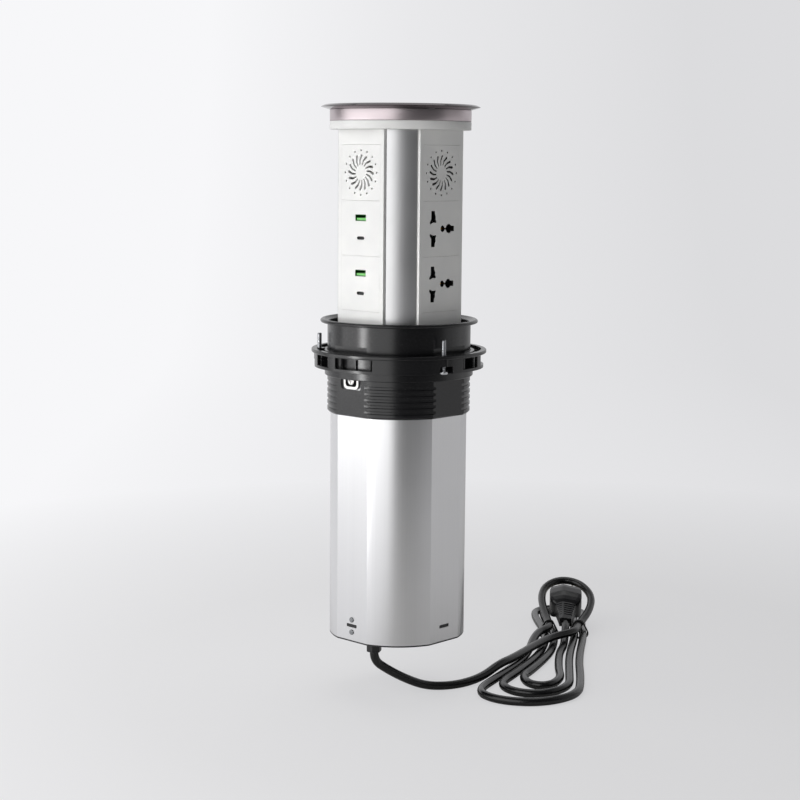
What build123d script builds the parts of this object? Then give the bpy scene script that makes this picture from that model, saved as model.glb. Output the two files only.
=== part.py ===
"""Motorised pop-up worktop power tower, column raised. Millimetres, +Z up.

The origin is on the tower's axis at the underside of the collar flange, where it rests on the worktop.
The USB face looks along -Y and the socket face along +X.
"""

import os
from math import cos, pi, radians, sin, sqrt, tan

from build123d import *

os.makedirs("parts", exist_ok=True)

# Running and assembly clearances
SLIDE_GAP = 0.35
FIT = 0.05

# Lid and its bands
LID_R = 66.0
LID_UNDER = 175.3
LID_EDGE = 177.4
LID_TOP = 179.4
GLASS_R = 60.2
BAND_R = 58.5
BAND_WALL = 2.5
WHITE_BAND = (158.8, 165.8)
SILVER_BAND = (165.9, 175.2)

# Column
CORNER_R = 51.4
CORNER_WALL = 2.4
FACE = 46.4
FACE_HALF = 25.8
FRAME_DEPTH = 3.2
GROOVE_EDGE = 26.6
COLUMN_TOP = 158.7
COLUMN_FOOT = -28.0
CARRIER_UNDER = -34.0
PANEL = 2.0
MODULE = 45.0
MODULE_WIDTH = 43.7
MODULE_GAP = 0.1
MODULE_LINES = (11.5, 56.5, 101.5, 146.5)

# Speaker grille
DOT_RING_R = 17.9
DOT_R = 0.85
SLOT_START = 10.0
SLOT_SWEEP = 13.0
SLOT_JOINTS = ((6.4, 0.0, 0.5), (10.2, 0.3, 0.75), (13.6, 1.0, 1.0))
GRILLE_COUNT = 16

# Collar
FLANGE_R = 66.0
FLANGE_TOP = 3.0
COLLAR_BORE_R = 58.9
BARREL_R = 60.0
BARREL_FLAT = 57.0
BARREL_FOOT = -75.0
FLATS_TOP = -15.0
SHELF = -17.0
THREAD_PITCH = 5.0
THREAD_TOP = -46.8
THREAD_DEPTH = 0.9

# Clamp flange, ring nut and clamp screws
CLAMP_R = 73.35
CLAMP_TOP = -22.0
CLAMP_FOOT = -37.0
CLAMP_GAP = 0.4
SKIRT_R = 71.0
HUB_R = 63.2
NUT_R = 62.25
NUT_TOP = -37.3
NUT_FOOT = -44.0
SCREW_RING_R = 66.6
SCREW_FIRST_ANGLE = -13.5
SCREW_R = 2.0
SCREW_TIP = -9.5
SCREW_HEAD_TOP = -35.4

# Casing and base
CASING_R = 57.3
CASING_FLAT = 54.6
CASING_WALL = 2.0
CASING_TOP = -17.1
CASING_FOOT = -264.0
BASE_FOOT = -265.3
SLOT_Z = -251.5
RIVET_Z = (-246.5, -257.0)

# Drive
LEAD_SCREW_R = 4.0
LEAD_SCREW_TOP = -20.0
COUPLING = (-219.0, -207.0)
MOTOR_PLATE = (-222.0, -220.0)
MOTOR_R = 18.5
MOTOR_FOOT = -257.0

# Mains lead. It lies on a surface at FLOOR, and its hank is turned away from the tower's axes.
CORD_D = 7.3
CORD_R = CORD_D / 2
FLOOR = -315.0
CORD_LIES = FLOOR + CORD_R
GLAND_XY = (15.5, -43.5)
GLAND_MOUTH = -272.8
HANK_TURN = 43.5
HANK_WAIST = (158.5, 156.0)
HANK_TURNS = 3
STRAND_STEP = 8.0
TIE_LIFT = 1.8


def flatted_round(radius, flat, height):
    """A round outline with four flats square to X and Y."""
    with BuildSketch(Plane.XY.offset(height)) as outline:
        Circle(radius)
        Rectangle(2 * flat, 2 * flat, mode=Mode.INTERSECT)
    return outline.sketch


def column_outline(gap, height):
    """The column's own outline, grown by a gap: round corners with the four face frames standing proud."""
    with BuildSketch(Plane.XY.offset(height)) as outline:
        Circle(CORNER_R + gap)
        Rectangle(2 * (FACE + gap), 2 * (FACE + gap), mode=Mode.INTERSECT)
        Rectangle(2 * (FACE + gap), 2 * (FACE_HALF + gap))
        Rectangle(2 * (FACE_HALF + gap), 2 * (FACE + gap))
    return outline.sketch


def disc(radius, height):
    with BuildSketch(Plane.XY.offset(height)) as outline:
        Circle(radius)
    return outline.sketch


def save(part, name):
    part.label = name
    export_step(part, f"parts/{name}.step")


# Lid ring: bezel that tapers outwards to a thin rounded edge, with a shelf for the lid panel
with BuildPart() as lid_ring:
    with BuildSketch(Plane.XZ):
        with BuildLine():
            Polyline((57.0, LID_UNDER), (59.5, LID_UNDER), (LID_R - 0.5, LID_EDGE - 0.35))
            ThreePointArc(
                (LID_R - 0.5, LID_EDGE - 0.35), (LID_R, LID_EDGE), (LID_R - 0.6, LID_EDGE + 0.4)
            )
            ThreePointArc(
                (LID_R - 0.6, LID_EDGE + 0.4), (63.6, LID_TOP - 0.5), (61.4, LID_TOP)
            )
            Polyline(
                (61.4, LID_TOP),
                (GLASS_R + FIT, LID_TOP),
                (GLASS_R + FIT, LID_TOP - 2.9),
                (57.0, LID_TOP - 2.9),
                (57.0, LID_UNDER),
            )
        make_face()
    revolve(axis=Axis.Z)
save(lid_ring.part, "lid_ring")

# Lid panel: toughened glass with a touch area
with BuildPart() as lid_panel:
    Cylinder(GLASS_R, 2.6, align=(Align.CENTER, Align.CENTER, Align.MIN))
    chamfer(lid_panel.edges().sort_by(Axis.Z)[-1], 0.4)
lid_panel.part.position = (0, 0, LID_TOP - 2.8)
save(lid_panel.part, "lid_panel")

# Touch board under the lid panel, on the silver band's lugs
with BuildPart() as touch_board:
    with BuildSketch(Plane.XY.offset(172.4)):
        Circle(55.6)
        with PolarLocations(40, 4):
            Circle(2, mode=Mode.SUBTRACT)
    extrude(amount=1.6)
    with BuildSketch(Plane.XY.offset(171.0)):
        with PolarLocations(22, 3, start_angle=20):
            Rectangle(12, 9)
    extrude(amount=1.4)
save(touch_board.part, "touch_board")

# Silver band
with BuildPart() as silver_band:
    extrude(disc(BAND_R, SILVER_BAND[0]), amount=SILVER_BAND[1] - SILVER_BAND[0])
    extrude(
        disc(BAND_R - BAND_WALL, SILVER_BAND[0]),
        amount=SILVER_BAND[1] - SILVER_BAND[0],
        mode=Mode.SUBTRACT,
    )
    chamfer(silver_band.edges().filter_by(GeomType.CIRCLE).group_by(SortBy.RADIUS)[-1], 0.3)
save(silver_band.part, "silver_band")

# White band: a shallow cup that closes the top of the column
with BuildPart() as white_band:
    extrude(disc(BAND_R, WHITE_BAND[0]), amount=WHITE_BAND[1] - WHITE_BAND[0])
    extrude(disc(BAND_R - BAND_WALL, WHITE_BAND[0] + 2.4), amount=10, mode=Mode.SUBTRACT)
    with Locations((0, 0, WHITE_BAND[0])):
        Cylinder(12, 10, mode=Mode.SUBTRACT)
    chamfer(white_band.edges().filter_by(GeomType.CIRCLE).group_by(SortBy.RADIUS)[-1], 0.3)
save(white_band.part, "white_band")

# Corner profiles: a curved wall with a web on each side that the face frames rest on
WEB_FACE = FACE - FRAME_DEPTH - 0.2
for number in range(4):
    with BuildPart() as corner_profile:
        with BuildSketch(Plane.XY.offset(COLUMN_FOOT)):
            Circle(CORNER_R)
            Circle(CORNER_R - CORNER_WALL, mode=Mode.SUBTRACT)
            Rectangle(
                100, 100, align=(Align.MIN, Align.MAX), mode=Mode.INTERSECT
            )
            with Locations((GROOVE_EDGE, -GROOVE_EDGE)):
                Rectangle(60, 60, align=(Align.MIN, Align.MAX), mode=Mode.INTERSECT)
            with Locations((22.6, -WEB_FACE)):
                Rectangle(5.2, 1.6, align=(Align.MIN, Align.MIN))
            with Locations((WEB_FACE, -27.8)):
                Rectangle(1.6, 5.2, align=(Align.MAX, Align.MIN))
        extrude(amount=COLUMN_TOP - COLUMN_FOOT)
    corner = corner_profile.part.rotate(Axis.Z, 90 * number)
    save(corner, f"corner_profile_{number + 1}")

# Top plate of the column
with BuildPart() as top_plate:
    extrude(flatted_round(48.8, WEB_FACE - 1.8, 156.2), amount=COLUMN_TOP - 156.2)
    with Locations((0, 0, 157.4)):
        Cylinder(11, 4, mode=Mode.SUBTRACT)
save(top_plate.part, "top_plate")

# Carrier plate: foot of the column, guided in the casing
with BuildPart() as carrier_plate:
    extrude(flatted_round(54.9, 46.0, CARRIER_UNDER), amount=COLUMN_FOOT - CARRIER_UNDER - 0.1)
    with Locations((0, 0, CARRIER_UNDER)):
        Cylinder(9 + FIT, 20, mode=Mode.SUBTRACT)
    with Locations((-24, 24, CARRIER_UNDER)):
        Cylinder(4, 20, mode=Mode.SUBTRACT)
save(carrier_plate.part, "carrier_plate")

# Lead nut: brass, flange on top of the carrier plate
with BuildPart() as lead_nut:
    with BuildSketch(Plane.XY.offset(CARRIER_UNDER)):
        Circle(9)
    extrude(amount=16)
    with BuildSketch(Plane.XY.offset(COLUMN_FOOT)):
        Circle(15)
    extrude(amount=3)
    with Locations((0, 0, CARRIER_UNDER)):
        Cylinder(LEAD_SCREW_R + 0.06, 60, mode=Mode.SUBTRACT)
save(lead_nut.part, "lead_nut")


def face_plane(side):
    """The plane of a column face: u to the right as seen from outside, v up, w outwards."""
    if side == "usb":
        return Plane(origin=(0, -FACE, 0), x_dir=(1, 0, 0), z_dir=(0, -1, 0))
    if side == "socket":
        return Plane(origin=(FACE, 0, 0), x_dir=(0, 1, 0), z_dir=(1, 0, 0))
    if side == "rear":
        return Plane(origin=(0, FACE, 0), x_dir=(-1, 0, 0), z_dir=(0, 1, 0))
    return Plane(origin=(-FACE, 0, 0), x_dir=(0, -1, 0), z_dir=(-1, 0, 0))


PANEL_FOOT = COLUMN_FOOT + 0.1
PANEL_MID = (PANEL_FOOT + COLUMN_TOP) / 2
WINDOW_MID = (MODULE_LINES[0] + MODULE_LINES[-1]) / 2
WINDOW_H = MODULE_LINES[-1] - MODULE_LINES[0]

# Face frames: white plastic, with one long window for three modules
for side in ("usb", "socket"):
    with BuildPart() as face_frame:
        with BuildSketch(face_plane(side)):
            with Locations((0, PANEL_MID)):
                Rectangle(2 * FACE_HALF, COLUMN_TOP - PANEL_FOOT)
            with Locations((0, WINDOW_MID)):
                Rectangle(MODULE_WIDTH + 0.1, WINDOW_H + 0.1, mode=Mode.SUBTRACT)
        extrude(amount=-FRAME_DEPTH)
    save(face_frame.part, f"{side}_face_frame")

# Blank panels on the two other faces, with the same module lines as shallow grooves
for side, name in (("rear", "blank_panel_rear"), ("left", "blank_panel_left")):
    with BuildPart() as blank_panel:
        with BuildSketch(face_plane(side)):
            with Locations((0, PANEL_MID)):
                Rectangle(2 * FACE_HALF, COLUMN_TOP - PANEL_FOOT)
        extrude(amount=-FRAME_DEPTH)
        with BuildSketch(face_plane(side)):
            for line in MODULE_LINES:
                with Locations((0, line)):
                    Rectangle(MODULE_WIDTH, 0.3)
            for edge in (-MODULE_WIDTH / 2, MODULE_WIDTH / 2):
                with Locations((edge, WINDOW_MID)):
                    Rectangle(0.3, WINDOW_H)
        extrude(amount=-0.4, mode=Mode.SUBTRACT)
    save(blank_panel.part, name)


def module_mid(row):
    return (MODULE_LINES[row] + MODULE_LINES[row + 1]) / 2


# One slot of the speaker grille: a swirl that widens outwards, in two tapered lengths. Each joint has its
# radius, its share of the sweep and half the slot's width.
slot_lengths = []
for inner_joint, outer_joint in zip(SLOT_JOINTS, SLOT_JOINTS[1:]):
    with BuildSketch() as slot_length:
        for radius, share, half_width in (inner_joint, outer_joint):
            angle = radians(SLOT_START - SLOT_SWEEP * share)
            with Locations((radius * cos(angle), radius * sin(angle))):
                Circle(half_width)
        make_hull()
    slot_lengths.append(slot_length.sketch)

# Speaker grilles: a ring of round holes about a swirl of slots
grille_parts = []
for side in ("usb", "socket"):
    with BuildPart() as speaker_grille:
        with BuildSketch(face_plane(side)):
            with Locations((0, module_mid(2))):
                Rectangle(MODULE_WIDTH, MODULE - MODULE_GAP)
                with PolarLocations(DOT_RING_R, GRILLE_COUNT):
                    Circle(DOT_R, mode=Mode.SUBTRACT)
                with PolarLocations(0, GRILLE_COUNT):
                    for slot_length in slot_lengths:
                        add(slot_length, mode=Mode.SUBTRACT)
        extrude(amount=-PANEL)
    grille_parts.append(speaker_grille.part)
save(Compound(children=grille_parts), "speaker_grilles")

# Speaker units behind the grilles: basket and magnet in one turned shape, with the cone apart
unit_parts = []
cone_parts = []
for side in ("usb", "socket"):
    unit_plane = face_plane(side)
    back = unit_plane.offset(-PANEL - 0.1)
    centre = back.from_local_coords((0, module_mid(2), 0))
    seat = Plane(origin=centre, x_dir=back.x_dir, z_dir=back.z_dir)
    with BuildPart() as speaker_unit:
        with BuildSketch(seat):
            Circle(20)
            Circle(17, mode=Mode.SUBTRACT)
        extrude(amount=-3)
        with BuildSketch(seat.offset(-2.9)):
            Circle(18.5)
        with BuildSketch(seat.offset(-12)):
            Circle(10)
        loft()
        with BuildSketch(seat.offset(-2.8)):
            Circle(16.5)
        with BuildSketch(seat.offset(-11)):
            Circle(8.5)
        loft(mode=Mode.SUBTRACT)
        with BuildSketch(seat.offset(-11)):
            Circle(12)
        extrude(amount=-9)
    unit_parts.append(speaker_unit.part)
    with BuildPart() as speaker_cone:
        with BuildSketch(seat.offset(-3.4)):
            Circle(15.4)
        with BuildSketch(seat.offset(-9.6)):
            Circle(7.4)
        loft()
        with BuildSketch(seat.offset(-3.3)):
            Circle(14.6)
        with BuildSketch(seat.offset(-8.6)):
            Circle(6.4)
        loft(mode=Mode.SUBTRACT)
    cone_parts.append(speaker_cone.part)
save(Compound(children=unit_parts), "speaker_units")
save(Compound(children=cone_parts), "speaker_cones")

# USB modules: plates with an A port above a C port. The pair sits a little above the middle.
USB_A = (12.2, 5.3)
USB_C = (8.3, 2.7)
USB_A_UP = 8.5
USB_C_UP = -8.0
shell_parts = []
tongue_parts = []
c_parts = []
usb_plane = face_plane("usb")
for row, name in ((1, "usb_module_upper"), (0, "usb_module_lower")):
    a_mid = module_mid(row) + USB_A_UP
    c_mid = module_mid(row) + USB_C_UP
    with BuildPart() as usb_module:
        with BuildSketch(usb_plane):
            with Locations((0, module_mid(row))):
                Rectangle(MODULE_WIDTH, MODULE - MODULE_GAP)
            with Locations((0, a_mid)):
                Rectangle(*USB_A, mode=Mode.SUBTRACT)
            with Locations((0, c_mid)):
                SlotOverall(*USB_C, mode=Mode.SUBTRACT)
        extrude(amount=-PANEL)
    save(usb_module.part, name)
    with BuildPart() as usb_a_shell:
        with BuildSketch(usb_plane.offset(-0.3)):
            with Locations((0, a_mid)):
                Rectangle(USB_A[0] - 0.1, USB_A[1] - 0.1)
        extrude(amount=-12.4)
        with BuildSketch(usb_plane.offset(-0.3)):
            with Locations((0, a_mid)):
                Rectangle(USB_A[0] - 0.8, USB_A[1] - 0.8)
        extrude(amount=-11, mode=Mode.SUBTRACT)
    shell_parts.append(usb_a_shell.part)
    with BuildPart() as usb_a_tongue:
        with BuildSketch(usb_plane.offset(-1.2)):
            with Locations((0, a_mid - 1.1)):
                Rectangle(USB_A[0] - 1.2, 1.9)
        extrude(amount=-10)
    tongue_parts.append(usb_a_tongue.part)
    with BuildPart() as usb_c_shell:
        with BuildSketch(usb_plane.offset(-0.3)):
            with Locations((0, c_mid)):
                SlotOverall(USB_C[0] - 0.1, USB_C[1] - 0.1)
        extrude(amount=-9)
        with BuildSketch(usb_plane.offset(-0.3)):
            with Locations((0, c_mid)):
                SlotOverall(USB_C[0] - 0.7, USB_C[1] - 0.7)
                Rectangle(5.6, 0.7, mode=Mode.SUBTRACT)
        extrude(amount=-7, mode=Mode.SUBTRACT)
    c_parts.append(usb_c_shell.part)
save(Compound(children=shell_parts), "usb_a_shells")
save(Compound(children=tongue_parts), "usb_a_tongues")
save(Compound(children=c_parts), "usb_c_ports")

# USB board behind the ports
with BuildPart() as usb_board:
    with BuildSketch(usb_plane.offset(-12.9)):
        with Locations((0, (MODULE_LINES[0] + MODULE_LINES[2]) / 2)):
            Rectangle(36, 84)
    extrude(amount=-1.6)
    with BuildSketch(usb_plane.offset(-14.5)):
        for height in (26, 44, 66, 84):
            with Locations((-7, height), (8, height + 3)):
                Rectangle(9, 8)
    extrude(amount=-5)
save(usb_board.part, "usb_board")

# Universal sockets: live and neutral apertures one above the other, earth aperture beside them
SOCKET_DEPTH = 4.6
LINE_SIDE = -9.6
EARTH_SIDE = 9.4
socket_plane = face_plane("socket")


def line_aperture(mid, way):
    """Live aperture above the middle (way 1) or neutral below it (way -1): narrow, with a flared foot."""
    corners = (
        (-2.35, 14.6),
        (2.35, 14.6),
        (2.6, 12.0),
        (3.6, 10.0),
        (3.5, 7.6),
        (4.4, 5.8),
        (3.7, 4.9),
        (0.6, 5.3),
        (-3.2, 3.9),
        (-4.1, 4.5),
        (-4.1, 5.6),
        (-2.45, 7.8),
    )
    with BuildSketch(socket_plane) as aperture:
        with BuildLine():
            Polyline(*[(LINE_SIDE + u, mid + way * v) for u, v in corners], close=True)
        make_face()
        fillet(aperture.vertices(), 0.45)
    return aperture.sketch


def earth_aperture(mid):
    with BuildSketch(socket_plane) as aperture:
        with Locations((2.0, mid)):
            Circle(2.7)
        with Locations((4.6, mid)):
            Rectangle(4.5, 1.4)
        with Locations((EARTH_SIDE, mid)):
            Circle(3.75)
        with Locations((EARTH_SIDE + 3.8, mid)):
            Rectangle(5.8, 4.4)
    return aperture.sketch


contact_parts = []
carrier_parts = []
for row, word in ((1, "upper"), (0, "lower")):
    mid = module_mid(row)
    with BuildPart() as socket_module:
        with BuildSketch(socket_plane):
            with Locations((0, mid)):
                Rectangle(MODULE_WIDTH, MODULE - MODULE_GAP)
        extrude(amount=-SOCKET_DEPTH)
        extrude(line_aperture(mid, 1), amount=-SOCKET_DEPTH, mode=Mode.SUBTRACT)
        extrude(line_aperture(mid, -1), amount=-SOCKET_DEPTH, mode=Mode.SUBTRACT)
        extrude(earth_aperture(mid), amount=-SOCKET_DEPTH, mode=Mode.SUBTRACT)
    save(socket_module.part, f"socket_module_{word}")
    # Shutter behind the live and neutral apertures
    with BuildPart() as socket_shutter:
        with BuildSketch(socket_plane.offset(-SOCKET_DEPTH - 0.3)):
            with Locations((LINE_SIDE, mid)):
                Rectangle(8.4, 32)
        extrude(amount=-1.2)
    save(socket_shutter.part, f"socket_shutter_{word}")
    # Contact carrier and its three spring contacts
    with BuildPart() as contact_carrier:
        with BuildSketch(socket_plane.offset(-19.0)):
            with Locations((0, mid)):
                Rectangle(40, 42)
        extrude(amount=-2.5)
    carrier_parts.append(contact_carrier.part)
    for side_step, up in ((LINE_SIDE, 10), (LINE_SIDE, -10), (EARTH_SIDE, 0)):
        with BuildPart() as contact:
            with BuildSketch(socket_plane.offset(-19.0)):
                with Locations((side_step, mid + up)):
                    Rectangle(6, 8)
            extrude(amount=12)
            with BuildSketch(socket_plane.offset(-17.0)):
                with Locations((side_step, mid + up)):
                    Rectangle(3.2, 9)
            extrude(amount=11, mode=Mode.SUBTRACT)
        contact_parts.append(contact.part)
save(Compound(children=carrier_parts), "contact_carriers")
save(Compound(children=contact_parts), "socket_contacts")

# Collar: one moulding, kept as two solids that meet just above the worktop. The first is its flange.
COLLAR_JOINT = 0.4
with BuildPart() as collar_flange:
    with BuildSketch(Plane.XZ):
        with BuildLine():
            Polyline(
                (BARREL_R, 0),
                (BARREL_R, COLLAR_JOINT),
                (COLLAR_BORE_R, COLLAR_JOINT),
                (62.0, 2.2),
                (63.4, FLANGE_TOP),
            )
            ThreePointArc(
                (63.4, FLANGE_TOP), (65.3, FLANGE_TOP - 0.5), (FLANGE_R, FLANGE_TOP - 1.7)
            )
            Polyline((FLANGE_R, FLANGE_TOP - 1.7), (FLANGE_R - 0.5, 0), (BARREL_R, 0))
        make_face()
    revolve(axis=Axis.Z)
save(collar_flange.part, "collar_flange")

# The second is its barrel: round at the top, then with four flats and an interrupted thread
with BuildPart() as collar:
    extrude(disc(BARREL_R, SHELF), amount=COLLAR_JOINT - SHELF)
    extrude(
        flatted_round(BARREL_R, BARREL_FLAT, BARREL_FOOT), amount=FLATS_TOP - BARREL_FOOT
    )
    chamfer(collar.edges().group_by(Axis.Z)[0], 1.4)
    extrude(
        flatted_round(CASING_R + FIT, CASING_FLAT + FIT, BARREL_FOOT),
        amount=SHELF - BARREL_FOOT,
        mode=Mode.SUBTRACT,
    )
    extrude(disc(COLLAR_BORE_R, SHELF), amount=COLLAR_JOINT - SHELF, mode=Mode.SUBTRACT)
    with BuildSketch(Plane.XZ):
        crest = THREAD_TOP
        while crest - THREAD_PITCH > BARREL_FOOT + 2:
            with BuildLine():
                Polyline(
                    (BARREL_R + 1, crest - 1.1),
                    (BARREL_R - THREAD_DEPTH, crest - 1.9),
                    (BARREL_R - THREAD_DEPTH, crest - 3.9),
                    (BARREL_R + 1, crest - 4.7),
                    close=True,
                )
            make_face()
            crest = crest - THREAD_PITCH
    revolve(axis=Axis.Z, mode=Mode.SUBTRACT)
    # Window for the keeper clip
    with BuildSketch(Plane.XZ.offset(CASING_FLAT - 1)):
        with Locations((0, -45.2)):
            RectangleRounded(23, 15, 3)
    extrude(amount=6, mode=Mode.SUBTRACT)
save(collar.part, "collar")

# Keeper clip in the window: pressed steel cup with a raised U-shaped rim
KEEPER_Z = -45.4
with BuildPart() as collar_keeper:
    with BuildSketch(Plane.XZ.offset(CASING_FLAT + FIT)):
        with Locations((0, KEEPER_Z)):
            RectangleRounded(16.7, 13.6, 4)
    extrude(amount=2.1)
    with BuildSketch(Plane.XZ.offset(CASING_FLAT + FIT + 0.8)):
        with Locations((0, KEEPER_Z + 2)):
            RectangleRounded(12.7, 13.4, 2.8)
    extrude(amount=3, mode=Mode.SUBTRACT)
    with BuildSketch(Plane.XZ.offset(CASING_FLAT - 1)):
        with Locations((0, KEEPER_Z)):
            Circle(2.05)
    extrude(amount=6, mode=Mode.SUBTRACT)
save(collar_keeper.part, "collar_keeper")

# Keeper screw
with BuildPart() as keeper_screw:
    with BuildSketch(Plane.XZ.offset(CASING_FLAT + FIT + 0.85)):
        with Locations((0, KEEPER_Z)):
            Circle(3.5)
    extrude(amount=1.7)
    fillet(keeper_screw.faces().sort_by(Axis.Y)[0].edges(), 0.7)
    with BuildSketch(Plane.XZ.offset(CASING_FLAT - 5)):
        with Locations((0, KEEPER_Z)):
            Circle(2.0)
    extrude(amount=6)
    with BuildSketch(Plane.XZ.offset(CASING_FLAT + 1.6)):
        with Locations((0, KEEPER_Z)):
            Rectangle(4.4, 0.8)
            Rectangle(0.8, 4.4)
    extrude(amount=3, mode=Mode.SUBTRACT)
save(keeper_screw.part, "keeper_screw")

# Guide ring at the casing's mouth, with a sloped lip that shows inside the collar
with BuildPart() as guide_ring:
    with BuildSketch(Plane.XY.offset(SHELF)):
        Circle(COLLAR_BORE_R - 0.15)
    with BuildSketch(Plane.XY.offset(SHELF + 2.2)):
        Circle(COLLAR_BORE_R - 1.6)
    loft()
    extrude(flatted_round(CASING_R - CASING_WALL - 0.1, CASING_FLAT - CASING_WALL - 0.1, -26), amount=10)
    extrude(column_outline(SLIDE_GAP, -30), amount=30, mode=Mode.SUBTRACT)
save(guide_ring.part, "guide_ring")


def around_screws(radius):
    return PolarLocations(radius, 3, start_angle=SCREW_FIRST_ANGLE)


# Clamp flange: hub, skirt and rim joined by radial ribs, with a boss for each clamp screw. The skirt has two
# windows after each screw, given by their first and last angle and how far in they reach.
RIB_COUNT = 30
SKIRT_WINDOWS = ((15.0, 33.0, SKIRT_R - 2), (40.0, 69.5, HUB_R + 1.8))
with BuildPart() as clamp_flange:
    extrude(disc(HUB_R, CLAMP_FOOT), amount=CLAMP_TOP - CLAMP_FOOT - 1.0)
    extrude(disc(SKIRT_R, CLAMP_FOOT), amount=CLAMP_TOP - CLAMP_FOOT)
    extrude(disc(SKIRT_R - 2, CLAMP_FOOT + 2.4), amount=20, mode=Mode.SUBTRACT)
    extrude(disc(HUB_R, CLAMP_FOOT), amount=CLAMP_TOP - CLAMP_FOOT - 1.0)
    with BuildSketch(Plane.XY.offset(CLAMP_TOP - 3)):
        Circle(CLAMP_R)
        Circle(SKIRT_R - 1, mode=Mode.SUBTRACT)
    extrude(amount=3)
    chamfer(clamp_flange.edges().filter_by(GeomType.CIRCLE).group_by(SortBy.RADIUS)[-1], 0.5)
    with BuildSketch(Plane.XY.offset(CLAMP_FOOT)):
        with PolarLocations((HUB_R + SKIRT_R) / 2 - 0.5, RIB_COUNT, start_angle=SCREW_FIRST_ANGLE + 6):
            Rectangle(8, 1.4)
    extrude(amount=CLAMP_TOP - CLAMP_FOOT - 2.5)
    with BuildSketch(Plane.XY.offset(CLAMP_FOOT + 2.4)):
        for number in range(3):
            for first, last, reach in SKIRT_WINDOWS:
                start = SCREW_FIRST_ANGLE + 120 * number + first
                with BuildLine():
                    inner_arc = CenterArc((0, 0), reach, start, last - first)
                    outer_arc = CenterArc((0, 0), CLAMP_R + 1, start, last - first)
                    Line(inner_arc @ 0, outer_arc @ 0)
                    Line(inner_arc @ 1, outer_arc @ 1)
                make_face()
    extrude(amount=CLAMP_TOP - CLAMP_FOOT - 6, mode=Mode.SUBTRACT)
    with BuildSketch(Plane.XY.offset(CLAMP_FOOT + 6)):
        with around_screws(SCREW_RING_R):
            Circle(4.6)
    extrude(amount=CLAMP_TOP - CLAMP_FOOT - 6)
    with BuildSketch(Plane.XY.offset(CLAMP_FOOT - 1)):
        with around_screws(SCREW_RING_R + 2.2):
            Rectangle(13.2, 12.8)
    extrude(amount=7, mode=Mode.SUBTRACT)
    with BuildSketch(Plane.XY.offset(CLAMP_FOOT)):
        with around_screws(SCREW_RING_R):
            Circle(SCREW_R + 0.06)
    extrude(amount=40, mode=Mode.SUBTRACT)
    extrude(
        flatted_round(BARREL_R + CLAMP_GAP, BARREL_FLAT + CLAMP_GAP, CLAMP_FOOT - 1),
        amount=40,
        mode=Mode.SUBTRACT,
    )
save(clamp_flange.part, "clamp_flange")

# Ring nut that turns on the collar's thread and pushes the clamp flange up
with BuildPart() as ring_nut:
    extrude(disc(NUT_R, NUT_FOOT), amount=NUT_TOP - NUT_FOOT)
    extrude(disc(BARREL_R + CLAMP_GAP, NUT_FOOT), amount=NUT_TOP - NUT_FOOT, mode=Mode.SUBTRACT)
    chamfer(ring_nut.edges().filter_by(GeomType.CIRCLE).group_by(SortBy.RADIUS)[-1], 0.5)
save(ring_nut.part, "ring_nut")

# Clamp screws: M4 with a pan head below and the tip towards the worktop
for number in range(3):
    angle = radians(SCREW_FIRST_ANGLE + 120 * number)
    foot = (SCREW_RING_R * cos(angle), SCREW_RING_R * sin(angle))
    with BuildPart() as clamp_screw:
        with BuildSketch(Plane.XY.offset(SCREW_HEAD_TOP - 0.5)):
            with Locations(foot):
                Circle(SCREW_R)
        extrude(amount=SCREW_TIP - SCREW_HEAD_TOP + 0.5)
        chamfer(clamp_screw.edges().sort_by(Axis.Z)[-1], 0.5)
        with BuildSketch(Plane.XY.offset(SCREW_HEAD_TOP - 2.6)):
            with Locations(foot):
                Circle(3.6)
        extrude(amount=2.6)
        fillet(clamp_screw.edges().sort_by(Axis.Z)[0], 1.2)
        with BuildSketch(Plane.XY.offset(SCREW_HEAD_TOP - 3)):
            with Locations(foot):
                Rectangle(4.4, 0.8)
                Rectangle(0.8, 4.4)
        extrude(amount=1.8, mode=Mode.SUBTRACT)
    save(clamp_screw.part, f"clamp_screw_{number + 1}")

# Outer casing: extruded tube with four flats, a slot for each lug of the base cap
with BuildPart() as outer_casing:
    extrude(flatted_round(CASING_R, CASING_FLAT, CASING_FOOT), amount=CASING_TOP - CASING_FOOT)
    extrude(
        flatted_round(CASING_R - CASING_WALL, CASING_FLAT - CASING_WALL, CASING_FOOT),
        amount=CASING_TOP - CASING_FOOT,
        mode=Mode.SUBTRACT,
    )
    for plane in (Plane.XZ, Plane.YZ):
        with BuildSketch(plane.offset(-70)):
            with Locations((0, SLOT_Z)):
                RectangleRounded(11.5, 2.8, 0.7)
        extrude(amount=140, mode=Mode.SUBTRACT)
    with BuildSketch(Plane.XZ.offset(CASING_FLAT - 5)):
        with Locations((0, KEEPER_Z)):
            Circle(2.1)
        with Locations(*[(0, height) for height in RIVET_Z]):
            Circle(1.6)
    extrude(amount=10, mode=Mode.SUBTRACT)
save(outer_casing.part, "outer_casing")

# Rivets on the USB side of the casing
rivet_parts = []
for height in RIVET_Z:
    with BuildPart() as rivet:
        with BuildSketch(Plane.XZ.offset(CASING_FLAT - 3)):
            with Locations((0, height)):
                Circle(1.55)
        extrude(amount=3.2)
        with BuildSketch(Plane.XZ.offset(CASING_FLAT + 0.02)):
            with Locations((0, height)):
                Circle(2.25)
        extrude(amount=0.9)
        fillet(rivet.faces().sort_by(Axis.Y)[0].edges(), 0.6)
    rivet_parts.append(rivet.part)
save(Compound(children=rivet_parts), "casing_rivets")

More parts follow.
